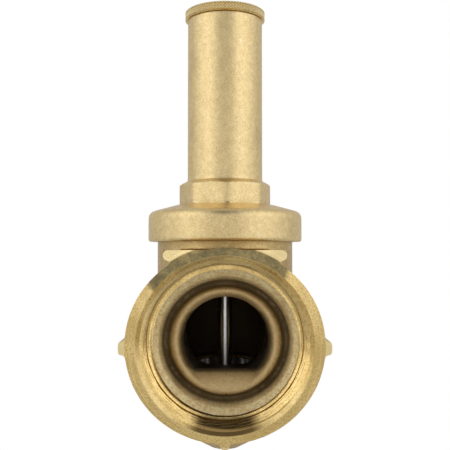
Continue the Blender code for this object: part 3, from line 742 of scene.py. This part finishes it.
# The hollows get a duller, less metallic, lighter copy of the cast brass: partly the sand core's own
# finish, partly painted light that makes up for the shade in the cavity.
CAST_INSIDE = cast_brass("cast_brass_inside", CORE_LIGHT, CORE_DARK, grain_per_mm=1.1, grain_depth=0.12,
                         dullness=0.2, metallic=0.65, hollow_shade=0.6, in_port=True)
CAST_DULL = cast_brass("cast_brass_dull", DULL_LIGHT, DULL_DARK, tarnish=0.5, dullness=0.1)
PORT_BRASS = turned_brass("machined_brass_port", "Y", is_port=True)
BRASS = turned_brass("machined_brass", "Z")
KNURLED = knurled_brass("knurled_brass")
GROUND = ground_steel("ground_stainless")
STEEL = plated_steel("plated_steel")
WIRE = drawn_wire("spring_wire")
RUBBER = moulded("black_rubber", (0.012, 0.012, 0.012), (0.03, 0.03, 0.03), 0.6, 1.5)
PTFE = moulded("white_ptfe", (0.70, 0.69, 0.65), (0.80, 0.79, 0.75), 0.45, 0.8)
FIBRE = moulded("pressed_fibre", (0.07, 0.045, 0.03), (0.16, 0.10, 0.06), 0.8, 2.5)


# -------------------- valve body

def globe_outline():
    """Body about the stem axis, from the boss up past the neck's face."""
    lower = []
    steps = 16
    for i in range(steps + 1):
        angle = pi / 2 * i / steps
        radius = BOSS_R + (GLOBE_R - BOSS_R) * sin(angle)
        lower.append((radius, GLOBE_WIDEST - GLOBE_DROP * cos(angle)))
    upper = eased((GLOBE_R, GLOBE_TOP), (NECK_R, NECK_BOTTOM), 14)
    bottom = BOSS_BOTTOM - 0.5
    top = NECK_TOP + OVERSHOOT
    return [(0.0, bottom), (BOSS_R, bottom)] + lower + upper + [(NECK_R, top), (0.0, top)]


def squat_socket(angles, r, h):
    """The sockets came out of the mould a little wider than tall, most of all at their rims."""
    share = np.clip((r - SQUAT_FROM_R) / (SQUAT_FULL_R - SQUAT_FROM_R), 0.0, 1.0)
    return r * (1.0 + share * (SOCKET_SPREAD - (SOCKET_SPREAD + SOCKET_SAG) * np.sin(angles) ** 2))


def socket_blank(side):
    mouth = FACE_Y + OVERSHOOT
    back = FACE_Y - SOCKET_LENGTH
    waist = eased((WAIST_R, WAIST), (SOCKET_R, back), 10)[::-1]
    outline = [(0.0, mouth), (SOCKET_R, mouth)] + waist + [(WAIST_R, SOCKET_ROOT), (0.0, SOCKET_ROOT)]
    return lathe("socket_blank", outline, CAST_BODY, facets=160, axis=side, shaper=squat_socket)


def rounded_bar(x_range, z_range, corner, ends):
    """A bar along Y with rounded long edges, from its box in X and Z."""
    ring = []
    corners = ((x_range[1], z_range[1], -1, -1, 0), (x_range[0], z_range[1], 1, -1, 90),
               (x_range[0], z_range[0], 1, 1, 180), (x_range[1], z_range[0], -1, 1, 270))
    for x, z, to_x, to_z, first in corners:
        ring += arc((x + to_x * corner, z + to_z * corner), corner, first, first + 90, 6)
    return loft("bar", [[(x, y, z) for x, z in ring] for y in ends], CAST_BODY)


def ears_and_ribs():
    """Top slab with rounded ends and three small ribs on each socket, faced off later with the port."""
    bars = []
    root = SOCKET_R - 3.0
    ear_x = (-EAR_HALF_WIDTH, EAR_HALF_WIDTH)
    ear_corner = (EAR_TOP - EAR_BOTTOM) / 2 - 0.01
    side_z = (SIDE_RIB_Z - SIDE_RIB_HEIGHT / 2, SIDE_RIB_Z + SIDE_RIB_HEIGHT / 2)
    foot_x = (-FOOT_RIB_WIDTH / 2, FOOT_RIB_WIDTH / 2)
    for side in (-1, 1):
        outer = side * (FACE_Y + OVERSHOOT)
        inner = side * (FACE_Y - SOCKET_LENGTH + 1.0)
        bars.append(rounded_bar(ear_x, (EAR_BOTTOM, EAR_TOP), ear_corner, (outer, side * EAR_ROOT)))
        bars.append(rounded_bar((root, SIDE_RIB_R), side_z, 0.7, (outer, inner)))
        bars.append(rounded_bar((-SIDE_RIB_R, -root), side_z, 0.7, (outer, inner)))
        bars.append(rounded_bar(foot_x, (-FOOT_RIB_R, -root), 0.6, (outer, inner)))
    return bars


def d_section(radius, drop, y, flip):
    """A circle with a flat chord under its centre, or over it when flipped."""
    steps = 48
    start = -np.arcsin(drop / radius)
    angles = [start + (pi - 2 * start) * i / steps for i in range(steps + 1)]
    shift_x, shift_z = CORE_SHIFT
    return [(radius * cos(a) + shift_x, y, flip * radius * sin(a) + shift_z) for a in angles]


def rolled(rim, inner, share):
    """A quarter of an ellipse, from the rim where it faces the port to a wall along the passage."""
    left = 1 - min(share, 1.0)
    return rim - (rim - inner) * sqrt(1 - left * left)


def water_way(side, inner_y):
    """The D-shaped hole behind a port; its round part and its flat both roll over the lip."""
    rim = LIP_R
    steps = 12
    sections = [d_section(rim, rim * 0.99, side * (FACE_Y - LIP_DEPTH + 0.3), -side)]
    for i in range(1, steps + 1):
        depth = (SILL_DEPTH - LIP_DEPTH) * (1 - cos(pi / 2 * i / steps))
        radius = rolled(rim, HOLE_R, depth / (HOLE_DEPTH - LIP_DEPTH))
        drop = rolled(rim, SILL_DROP, depth / (SILL_DEPTH - LIP_DEPTH))
        drop = min(drop, radius * 0.99)
        sections.append(d_section(radius, drop, side * (FACE_Y - LIP_DEPTH - depth), -side))
    for y in (FACE_Y - PASSAGE_DEPTH, inner_y):
        sections.append(d_section(PASSAGE_R, PASSAGE_DROP, side * y, -side))
    return loft("water_way", sections, CAST_BODY)


def inlet_ramp():
    """The slanted oval way from the inlet down under the partition."""
    centres = (Vector((0.0, 40.0, -6.0)), Vector((0.0, 20.0, -26.0)))
    wide = Vector((RAMP_HALF_WIDTH, 0.0, 0.0))
    high = Vector((0.0, -1.0, 1.0)).normalized() * RAMP_HALF_HEIGHT
    angles = [2 * pi * i / 48 for i in range(48)]
    sections = [[centre + wide * cos(a) + high * sin(a) for a in angles] for centre in centres]
    return loft("inlet_ramp", sections, CAST_BODY)


def oval_valley(angles, r, h):
    """The sand core sagged a little, so the valley is not quite as tall as it is wide."""
    from_lip = np.clip((r - LIP_R - 0.1) / 2.0, 0.0, 1.0)
    from_wall = np.clip((CORE_R - 1.2 - r) / 3.0, 0.0, 1.0)
    return r * (1.0 - GROOVE_SAG * from_lip * from_wall * np.sin(angles) ** 2)


def core_recess(side):
    """The cast hollow of a socket: core, sloping face and a valley round the lip."""
    outline = [(0.0, -MACHINING_CLEAR), (CORE_R, -MACHINING_CLEAR), (CORE_R, SHOULDER_DEPTH - 0.1)]
    valley = eased((CAST_FACE_DEPTH, CAST_FACE_R), (GROOVE_DEPTH, GROOVE_R), 12)
    valley += eased((GROOVE_DEPTH, GROOVE_R), (LIP_DEPTH, LIP_R), 12)[1:]
    outline += [(r, depth) for depth, r in valley] + [(0.0, LIP_DEPTH)]
    profile = [(r, FACE_Y - t) for r, t in outline]
    shift_x, shift_z = CORE_SHIFT
    toward = shift_z if side == "-Y" else -shift_z
    return lathe("core_recess", profile, CAST_BODY, facets=160, axis=side, shaper=oval_valley,
                 centre=(shift_x, toward))


def cast_chambers():
    """Hollows that are left as cast: over the seat and under it."""
    over = [(0.0, PARTITION_TOP), (CHAMBER_R, PARTITION_TOP), (CHAMBER_R, CHAMBER_TOP + 1.0),
            (0.0, CHAMBER_TOP + 1.0)]
    under = [(0.0, -40.0), (17.5, -39.5), (21.0, -36.5), (27.0, -32.0), (29.5, -25.0), (28.5, -18.4),
             (19.5, -18.4), (18.0, PARTITION_BOTTOM), (0.0, PARTITION_BOTTOM)]
    return [lathe("chamber", over, CAST_BODY, facets=96), lathe("chamber", under, CAST_BODY, facets=96)]


def thread_shaper(angles, r, h):
    """Cut a helical pipe thread into the port cutter; it fades out over its last turn."""
    depth = FACE_Y - h
    phase = (depth / THREAD_PITCH - angles / (2 * pi)) % 1.0
    wave = 1 - 2 * np.abs(phase - 0.5) * 2
    tooth = np.clip(0.5 + wave * 0.62, 0.0, 1.0) * np.clip((THREAD_END - depth) / THREAD_PITCH, 0.0, 1.0)
    cut = THREAD_MINOR_R + (THREAD_MAJOR_R - THREAD_MINOR_R) * tooth
    inside = (depth > CHAMFER_DEPTH + 0.05) & (depth < THREAD_END) & (np.abs(r - THREAD_MINOR_R) < 0.1)
    return np.where(inside, cut, r)


def port_machining(side):
    """Everything the lathe cuts at a port: face, chamfer, thread and shoulder."""
    wide = 60.0
    outline = [(0.0, -MACHINING_CLEAR), (wide, -MACHINING_CLEAR), (wide, 0.0), (CHAMFER_R, 0.0),
               (CHAMFER_END_R, CHAMFER_DEPTH)]
    turns = np.arange(CHAMFER_DEPTH + 0.1, THREAD_END, 0.14)
    outline += [(THREAD_MINOR_R, t) for t in turns]
    outline += [(THREAD_MINOR_R, THREAD_END + 0.6), (CORE_R + 0.5, SHOULDER_DEPTH + 0.1),
                (CORE_R - 0.1, SHOULDER_DEPTH + 0.15), (0.0, SHOULDER_DEPTH + 0.15)]
    profile = [(r, FACE_Y - t) for r, t in outline]
    return lathe("port_machining", profile, PORT_BRASS, facets=180, axis=side, shaper=thread_shaper)


def bore_machining():
    """Neck face and bores from above, seat hole and plug bore from below."""
    neck_face = FLANGE_BOTTOM - 0.03
    top = neck_face + MACHINING_CLEAR
    neck_clear_r = NECK_R + 4.0
    above = [(0.0, CHAMBER_TOP), (LINER_SEAT_R, CHAMBER_TOP), (LINER_SEAT_R, NECK_THREAD_BOTTOM),
             (NECK_THREAD_R, NECK_THREAD_BOTTOM), (NECK_THREAD_R, GASKET_SEAT),
             (GASKET_SEAT_R, GASKET_SEAT), (GASKET_SEAT_R, neck_face), (neck_clear_r, neck_face),
             (neck_clear_r, top), (0.0, top)]
    seat = [(0.0, PARTITION_BOTTOM - 4.0), (17.0, PARTITION_BOTTOM - 4.0), (17.0, PARTITION_BOTTOM),
            (SEAT_HOLE_R, PARTITION_BOTTOM), (SEAT_HOLE_R, PARTITION_TOP - 0.6),
            (SEAT_HOLE_R + 0.6, PARTITION_TOP), (SEAT_HOLE_R + 0.6, PARTITION_TOP + 1.5),
            (0.0, PARTITION_TOP + 1.5)]
    under = BOSS_BOTTOM - 2.0
    plug = [(0.0, under), (BOSS_R + 3.0, under), (BOSS_R + 3.0, BOSS_BOTTOM), (PLUG_BORE_R, BOSS_BOTTOM),
            (PLUG_BORE_R, PLUG_BORE_TOP), (0.0, PLUG_BORE_TOP)]
    return [lathe("bore_machining", outline, BRASS) for outline in (above, seat, plug)]


def inside_the_ports(face):
    """True for a face of the body's skin that lies in a port's hollow or in the chambers behind it."""
    place = face.center
    along = abs(place.y) / MM
    from_port_axis = Vector((place.x, place.z)).length / MM
    from_stem_axis = Vector((place.x, place.y)).length / MM
    height = place.z / MM
    in_port = from_port_axis < CORE_R + 0.8 and CHAMBER_R - 0.5 < along < FACE_Y - 1.0
    in_chamber = from_stem_axis < CHAMBER_R + 1.5 and height < CHAMBER_TOP + 1.0
    return (in_port or in_chamber) and height > PARTITION_BOTTOM - 7.0


def make_valve_body():
    body = lathe("valve_body_casting", globe_outline(), CAST_BODY, facets=128)
    join_solids(body, [socket_blank("-Y"), socket_blank("+Y")], "UNION")
    cast_surface(body, voxel=1.0, rounds=14)
    join_solids(body, ears_and_ribs(), "UNION")
    ways = [water_way(-1, OUTLET_PASSAGE_END), water_way(1, INLET_PASSAGE_END), inlet_ramp()]
    join_solids(body, [core_recess("-Y"), core_recess("+Y")] + ways + cast_chambers(), "DIFFERENCE")
    cast_surface(body, voxel=0.62, rounds=7)
    roughen(body, depth=0.035, size=3.0, seed=1)
    paint(body, CAST_INSIDE, inside_the_ports)
    join_solids(body, [port_machining("-Y"), port_machining("+Y")] + bore_machining(), "DIFFERENCE")
    install(body, "valve_body", crease=30.0)


# -------------------- bonnet

def smooth_least(a, b, soft):
    """The smaller of two values, rounded over where they meet."""
    mix = np.clip(0.5 + 0.5 * (b - a) / soft, 0.0, 1.0)
    return b + (a - b) * mix - soft * mix * (1 - mix)


def polygon_radius(angles, sides, flats, turn):
    """Radius of a regular polygon at each angle; one corner lies at the turn angle."""
    step = 2 * pi / sides
    local = (angles - turn) % step - step / 2
    return flats / 2 / np.cos(local)


def octagon_shaper(angles, r, h):
    flats = polygon_radius(angles, 8, OCTAGON_FLATS, OCTAGON_TURN - pi / 2)
    zone = (h > FLANGE_TOP - 0.7) & (h < BARREL_BASE)
    zone &= (r > BARREL_R + 0.2) & (r < OCTAGON_CORNER_R + 1.5)
    return np.where(zone, smooth_least(r, flats, 0.8), r)


def make_bonnet():
    """Flange, octagon and spring barrel in one casting, with its skirt and bores."""
    corners = [(SKIRT_BORE_R, SKIRT_BOTTOM, 0.3), (SKIRT_R, SKIRT_BOTTOM, 0.7),
               (SKIRT_R, FLANGE_BOTTOM, 0.4), (FLANGE_R, FLANGE_BOTTOM, 1.2),
               (FLANGE_R, FLANGE_RIM_TOP, 3.6), (OCTAGON_CORNER_R, FLANGE_TOP, 0.7),
               (OCTAGON_CORNER_R, OCTAGON_TOP, 0.5), (BARREL_R + 0.12, BARREL_BASE, 0.3),
               (BARREL_R, BARREL_BASE + 1.6, 1.0), (BARREL_R, BARREL_TOP, 0.12),
               (BARREL_BORE_R, BARREL_TOP, 0.3), (BARREL_BORE_R, SPRING_ROOF + 2.0, 0.5),
               (SKIRT_BORE_R, SPRING_ROOF, 0.5)]
    outline = softened(corners, steps=5, longest=0.8)
    bonnet = lathe("bonnet_casting", outline, CAST, facets=224, shaper=octagon_shaper)
    roughen(bonnet, depth=0.028, size=3.2, seed=2)
    install(bonnet, "bonnet", crease=50.0)


# -------------------- cap

def knurl_shaper(angles, r, h):
    """Two crossing sets of grooves that leave small diamonds on the cap's rim."""
    lead = 2 * pi * CAP_R / KNURL_GROOVES
    middle = (CAP_LOW.z + CAP_HIGH.z) / 2 - PORT_AXIS
    around = angles * KNURL_GROOVES / (2 * pi)
    rise = (h - middle) / lead
    right = np.abs(2 * ((around + rise) % 1.0) - 1)
    left = np.abs(2 * ((around - rise) % 1.0) - 1)
    depth = KNURL_DEPTH * np.maximum(right, left) ** 1.6
    edge = np.minimum(h - KNURL_BOTTOM, KNURL_TOP - h)
    fade = np.clip(edge / 0.15, 0.0, 1.0)
    return np.where(r > CAP_R - 0.05, r - depth * fade, r)


def with_knurl_rows(outline):
    """Give the rim of the cap's outline enough points for the knurl."""
    dense = []
    for i, start in enumerate(outline):
        end = outline[(i + 1) % len(outline)]
        dense.append(start)
        if start[0] > CAP_R - 0.01 and end[0] > CAP_R - 0.01:
            step = (end[1] - start[1]) / KNURL_ROWS
            dense += [(CAP_R, start[1] + step * k) for k in range(1, KNURL_ROWS)]
    return dense


def make_cap():
    """A cap with a knurled rim, a smooth underside, and a spigot that turns in the barrel's bore."""
    spigot_bottom = CAP_LOW.z - PORT_AXIS
    corners = [(CAP_BORE_R, CAP_WEB_BOTTOM, 0.0), (SPIGOT_BORE_R, CAP_WEB_BOTTOM, 0.4),
               (SPIGOT_BORE_R, spigot_bottom, 0.2), (SPIGOT_R, spigot_bottom, 0.5),
               (SPIGOT_R, CAP_BOTTOM, 0.2), (CAP_R - CAP_EDGE, CAP_BOTTOM, 0.15),
               (CAP_R, KNURL_BOTTOM, 0.0), (CAP_R, KNURL_TOP, 0.0), (CAP_R - CAP_EDGE, CAP_TOP, 0.25),
               (CAP_RECESS_R, CAP_TOP, 0.2), (CAP_RECESS_R, CAP_RECESS_FLOOR, 0.3),
               (CAP_BORE_R, CAP_RECESS_FLOOR, 0.1)]
    outline = with_knurl_rows(softened(corners, steps=4))
    cap = lathe("knurled_cap_brass", outline, KNURLED, facets=1024, shaper=knurl_shaper)
    paint(cap, BRASS, lambda face: face.normal.z < -0.7)
    install(cap, "knurled_cap", crease=40.0)


# -------------------- inner pieces and fittings

def cad_outline(node):
    """A turned node's outline, traced along its mesh's edges in the half plane y = 0, x >= 0."""
    shape = bmesh.new()
    shape.from_mesh(frame["nodes"][node].data)
    bmesh.ops.remove_doubles(shape, verts=shape.verts, dist=0.002 * MM)
    near = 0.004 * MM

    def on_plane(vertex):
        return abs(vertex.co.y) < near and vertex.co.x > -near

    links = {v: [] for v in shape.verts if on_plane(v)}
    for edge in shape.edges:
        a, b = edge.verts
        if a in links and b in links and not (a.co.x < near and b.co.x < near):
            links[a].append(b)
            links[b].append(a)
    poles = [v for v in links if v.co.x < near]
    here = min(poles, key=lambda v: v.co.z) if poles else min(links, key=lambda v: (v.co.z, v.co.x))
    walk = [here]
    seen = {here}
    while True:
        onward = [v for v in links[here] if v not in seen]
        if not onward:
            break
        here = onward[0]
        seen.add(here)
        walk.append(here)
    outline = [(max(v.co.x, 0.0) / MM, v.co.z / MM - PORT_AXIS) for v in walk]
    shape.free()
    return outline


def straightened(outline):
    """Drop points that lie on a straight side."""
    kept = []
    for i, here in enumerate(outline):
        before = Vector(outline[i - 1]) - Vector(here)
        after = Vector(outline[(i + 1) % len(outline)]) - Vector(here)
        on_axis = here[0] < 1e-6
        if on_axis or before.length < 1e-6 or after.length < 1e-6 or before.angle(after) < radians(179.5):
            kept.append(here)
    return kept


def re_turn(node, look, fillet=0.2, facets=96, shaper=None, longest=None):
    """Turn a node's CAD outline again, finely, with broken edges."""
    corners = [(r, h, 0.0 if r < 1e-6 else fillet) for r, h in straightened(cad_outline(node))]
    outline = softened(corners, steps=3)
    if longest is not None:
        outline = [outline[0]] + divided(outline[1:-1] + [outline[-1]], longest)
        outline = [p for i, p in enumerate(outline) if i == 0 or p != outline[i - 1]]
    piece = lathe(node + "_turned", outline, look, facets=facets, shaper=shaper)
    install(piece, node)


def re_ring(node):
    """An O-ring with a truly round section, from its CAD box."""
    low, high = box_mm(node)
    middle = (high.z + low.z) / 2 - PORT_AXIS
    section_r = (high.z - low.z) / 2 / sin(radians(60))
    outline = arc((high.x - section_r, middle), section_r, 0, 360, 24)[:-1]
    piece = lathe(node + "_moulded", outline, RUBBER, facets=160)
    install(piece, node)


def hexagon_shaper(flats, turn, zone, soft):
    """A shaper that cuts six flats where zone(r, h) holds, with slightly rounded corners."""
    def shaper(angles, r, h):
        limit = polygon_radius(angles, 6, flats, turn)
        return np.where(zone(r, h), smooth_least(r, limit, soft), r)

    return shaper


def re_nut(node, flats, bore_r):
    """A hexagon nut with chamfered corners, from its CAD box."""
    low, high = box_mm(node)
    bottom = low.z - PORT_AXIS
    top = high.z - PORT_AXIS
    corner = flats / 2 / cos(pi / 6) + 0.02
    face_r = flats * 0.47
    drop = (corner - face_r) * tan(radians(30))
    corners = [(bore_r, bottom, 0.0), (face_r, bottom, 0.0), (corner, bottom + drop, 0.0),
               (corner, top - drop, 0.0), (face_r, top, 0.0), (bore_r, top, 0.0)]
    outline = divided(softened(corners), 0.3)
    hexagon = hexagon_shaper(flats, 0.0, lambda r, h: r > flats * 0.40, 0.12)
    piece = lathe(node + "_hexagon", outline, STEEL, facets=144, shaper=hexagon)
    install(piece, node, crease=35.0)


def make_bottom_plug():
    """Plug with a collar and a hexagon whose corners are turned away to a cone."""
    bottom = PLUG_LOW.z - PORT_AXIS
    top = PLUG_HIGH.z - PORT_AXIS
    collar_r = PLUG_HIGH.x
    collar_low, collar_high = PLUG_COLLAR
    corners = [(0.0, bottom, 0.0), (PLUG_FACE_R, bottom, 0.6), (PLUG_HEXAGON_R, bottom + PLUG_CONE, 0.0),
               (PLUG_HEXAGON_R, PLUG_HEXAGON_TOP, 0.0), (PLUG_THREAD_R, collar_low, 0.0),
               (collar_r, collar_low, 0.25), (collar_r, collar_high, 0.25),
               (PLUG_THREAD_R, collar_high, 0.2), (PLUG_THREAD_R, top, 0.8), (PLUG_GUIDE_R, top, 0.2),
               (PLUG_GUIDE_R, collar_low, 0.0), (PLUG_RELIEF_R, collar_low, 0.0),
               (PLUG_RELIEF_R, PLUG_RELIEF_FLOOR, 0.0), (0.0, PLUG_RELIEF_FLOOR, 0.0)]

    def under_collar(r, h):
        return (h < collar_low - 0.02) & (r > PLUG_FACE_R)

    hexagon = hexagon_shaper(PLUG_FLATS, PLUG_TURN, under_collar, 0.4)
    outline = softened(corners, steps=4)
    outline = [outline[0]] + divided(outline[1:-1], 0.5)[:-1] + [outline[-1]]
    plug = lathe("bottom_plug_casting", outline, CAST_DULL, facets=144, shaper=hexagon)
    roughen(plug, depth=0.03, size=2.0, seed=3)
    install(plug, "bottom_plug", crease=45.0)


def make_spring():
    """Round wire with one nearly closed turn at each end."""
    bottom = SPRING_LOW.z - PORT_AXIS + 0.2
    top = SPRING_HIGH.z - PORT_AXIS - 0.2
    mean_r = SPRING_HIGH.x - WIRE_R
    steps = 28
    rise = top - bottom - 2 * WIRE_R - 2 * CLOSED_PITCH
    around = [2 * pi * j / 14 for j in range(14)]
    sections = []
    for i in range((OPEN_TURNS + 2) * steps + 1):
        turn = i / steps
        height = bottom + WIRE_R + CLOSED_PITCH * min(turn, 1.0)
        height += rise * min(max(turn - 1.0, 0.0), OPEN_TURNS) / OPEN_TURNS
        height += CLOSED_PITCH * max(turn - 1.0 - OPEN_TURNS, 0.0)
        outward = Vector((cos(2 * pi * turn), sin(2 * pi * turn), 0.0))
        centre = outward * mean_r + Vector((0.0, 0.0, height))
        sections.append([centre + outward * WIRE_R * cos(a) + Vector((0, 0, WIRE_R * sin(a)))
                         for a in around])
    spring = loft("main_spring_coil", sections, WIRE)
    install(spring, "main_spring", crease=60.0)
    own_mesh(spring)


def spindle_shaper(angles, r, h):
    """A fine thread along the spindle, apart from its collar and its ends."""
    low, high = SPINDLE_THREAD
    phase = (h / SPINDLE_PITCH - angles / (2 * pi)) % 1.0
    groove = SPINDLE_GROOVE * (1 - np.clip(np.abs(phase - 0.5) * 2.4, 0.0, 1.0))
    thread = (np.abs(r - SPINDLE_R) < 0.02) & (h > low) & (h < high)
    return np.where(thread, r - groove, r)


def make_inner_pieces():
    re_turn("seat_ring", GROUND, fillet=0.25, facets=160)
    re_turn("bottom_plug_gasket", FIBRE, fillet=0.1)
    re_turn("stem_guide_bush", PTFE)
    re_turn("bonnet_gasket", FIBRE, fillet=0.1, facets=160)
    re_turn("cylinder_liner", BRASS, facets=160)
    re_turn("spindle_bush", BRASS)
    re_turn("valve_stem", GROUND, fillet=0.15, longest=4.0)
    re_turn("disc_washer", STEEL, fillet=0.12)
    re_turn("disc_seal", RUBBER, fillet=0.3)
    re_turn("disc_holder", BRASS, facets=128)
    re_turn("piston", BRASS, facets=160)
    re_turn("piston_wear_ring", PTFE, fillet=0.1, facets=160)
    re_turn("lower_spring_plate", STEEL, facets=128)
    re_turn("upper_spring_plate", STEEL, facets=128)
    re_turn("adjusting_spindle", STEEL, fillet=0.1, facets=64, shaper=spindle_shaper, longest=0.14)
    re_turn("cap_washer", STEEL, fillet=0.15)
    re_ring("liner_o_ring")
    re_ring("piston_seal")
    re_nut("disc_nut", STEM_NUT_FLATS, STEM_NUT_BORE_R)
    re_nut("piston_nut", STEM_NUT_FLATS, STEM_NUT_BORE_R)
    re_nut("cap_nut", CAP_NUT_FLATS, CAP_NUT_BORE_R)


# -------------------- studio

def make_floor():
    """A pale floor well under the valve, which the camera sees as white."""
    corners = [(-1, -1), (1, -1), (1, 1), (-1, 1)]
    points = [(x * FLOOR_HALF_WIDTH, y * FLOOR_HALF_WIDTH, FLOOR_HEIGHT) for x, y in corners]
    mesh = bpy.data.meshes.new("floor")
    mesh.from_pydata(points, [], [(0, 1, 2, 3)])
    pale = bpy.data.materials.new("pale_floor")
    pale.use_nodes = True
    nodes = Nodes(pale.node_tree)
    shader = nodes.tree.nodes["Principled BSDF"]
    nodes.put(shader.inputs["Base Color"], (0.80, 0.80, 0.78))
    nodes.put(shader.inputs["Roughness"], 0.9)
    glow = nodes.add("ShaderNodeEmission", {"Color": WHITE})
    nodes.show_camera(glow.outputs[0], shader.outputs[0], "Material Output")
    new_object("floor", mesh, pale)


def make_surroundings():
    """A white tent seen by the metal: two bright sides and a darker gap in front, round the camera.

    The gap widens with height, and the tent's roof and back are dimmer than its sides.
    """
    world = bpy.data.worlds.new("studio")
    world.use_nodes = True
    bpy.context.scene.world = world
    n = Nodes(world.node_tree)

    def rise(value, low, high, to_low=0.0, to_high=1.0):
        return n.ramp(value, low, high, to_low, to_high, kind="SMOOTHSTEP")

    def shared(share, first, second):
        rest = n.times(n.minus(1.0, share), first)
        return n.plus(n.times(share, second), rest)

    x, y, z = n.split(n.add("ShaderNodeTexCoord", {}).outputs["Generated"])
    azimuth = n.math("ARCTAN2", n.absolute(x), n.times(y, -1.0))
    widening = n.math("MAXIMUM", n.plus(z, 0.10), 0.0)
    gap = n.plus(n.times(widening, GAP_SPREAD), GAP_HALF_WIDTH)
    gap = n.math("MINIMUM", gap, GAP_WIDEST)
    past_gap = rise(azimuth, n.minus(gap, 0.05), n.plus(gap, 0.09))
    side_level = rise(z, -0.04, 0.05, LOW_SIDE_BRIGHT, SIDE_BRIGHT)
    box_level = rise(azimuth, 1.35, 2.0, side_level, BACK_BRIGHT)
    gap_level = rise(z, 0.06, 0.17, LOW_GAP_BRIGHT, GAP_BRIGHT)
    gap_level = n.times(gap_level, rise(z, 0.36, 0.60, 1.0, 0.22))
    roof_level = rise(y, -0.6, 0.1, FRONT_ROOF_BRIGHT, ROOF_BRIGHT)
    level = shared(past_gap, gap_level, box_level)
    level = shared(rise(z, 0.70, 0.95), level, roof_level)
    tent = n.tree.nodes["Background"]
    n.put(tent.inputs["Color"], WHITE)
    n.put(tent.inputs["Strength"], level)
    white = n.add("ShaderNodeBackground", {"Color": WHITE, "Strength": 1.0})
    n.show_camera(white.outputs[0], tent.outputs[0], "World Output")


def make_lights():
    """A soft box at each side of the camera."""
    for name, side in (("left_soft_box", -1), ("right_soft_box", 1)):
        data = bpy.data.lights.new(name, "AREA")
        data.shape = "RECTANGLE"
        data.size, data.size_y = (0.5, 0.8)
        data.energy = 0.3
        lamp = place_in_scene(name, data)
        lamp.location = (side * LAMP_X, LAMP_Y, LAMP_Z)
        aim = Vector((0.0, 0.0, LAMP_AIM_Z)) - lamp.location
        lamp.rotation_euler = aim.to_track_quat("-Z", "Y").to_euler()


def make_camera():
    """Just over the port axis, looking almost level into the outlet."""
    data = bpy.data.cameras.new("camera")
    data.lens = 60.0
    data.sensor_width = 36.0
    camera = place_in_scene("camera", data)
    camera.location = (0.0, -CAMERA_DISTANCE, (PORT_AXIS + CAMERA_RISE) * MM)
    camera.rotation_euler = (CAMERA_TILT, 0.0, 0.0)
    bpy.context.scene.camera = camera


make_valve_body()
make_bonnet()
make_cap()
make_bottom_plug()
make_spring()
make_inner_pieces()
make_floor()
make_surroundings()
make_lights()
make_camera()
bpy.context.scene.view_settings.view_transform = "Standard"
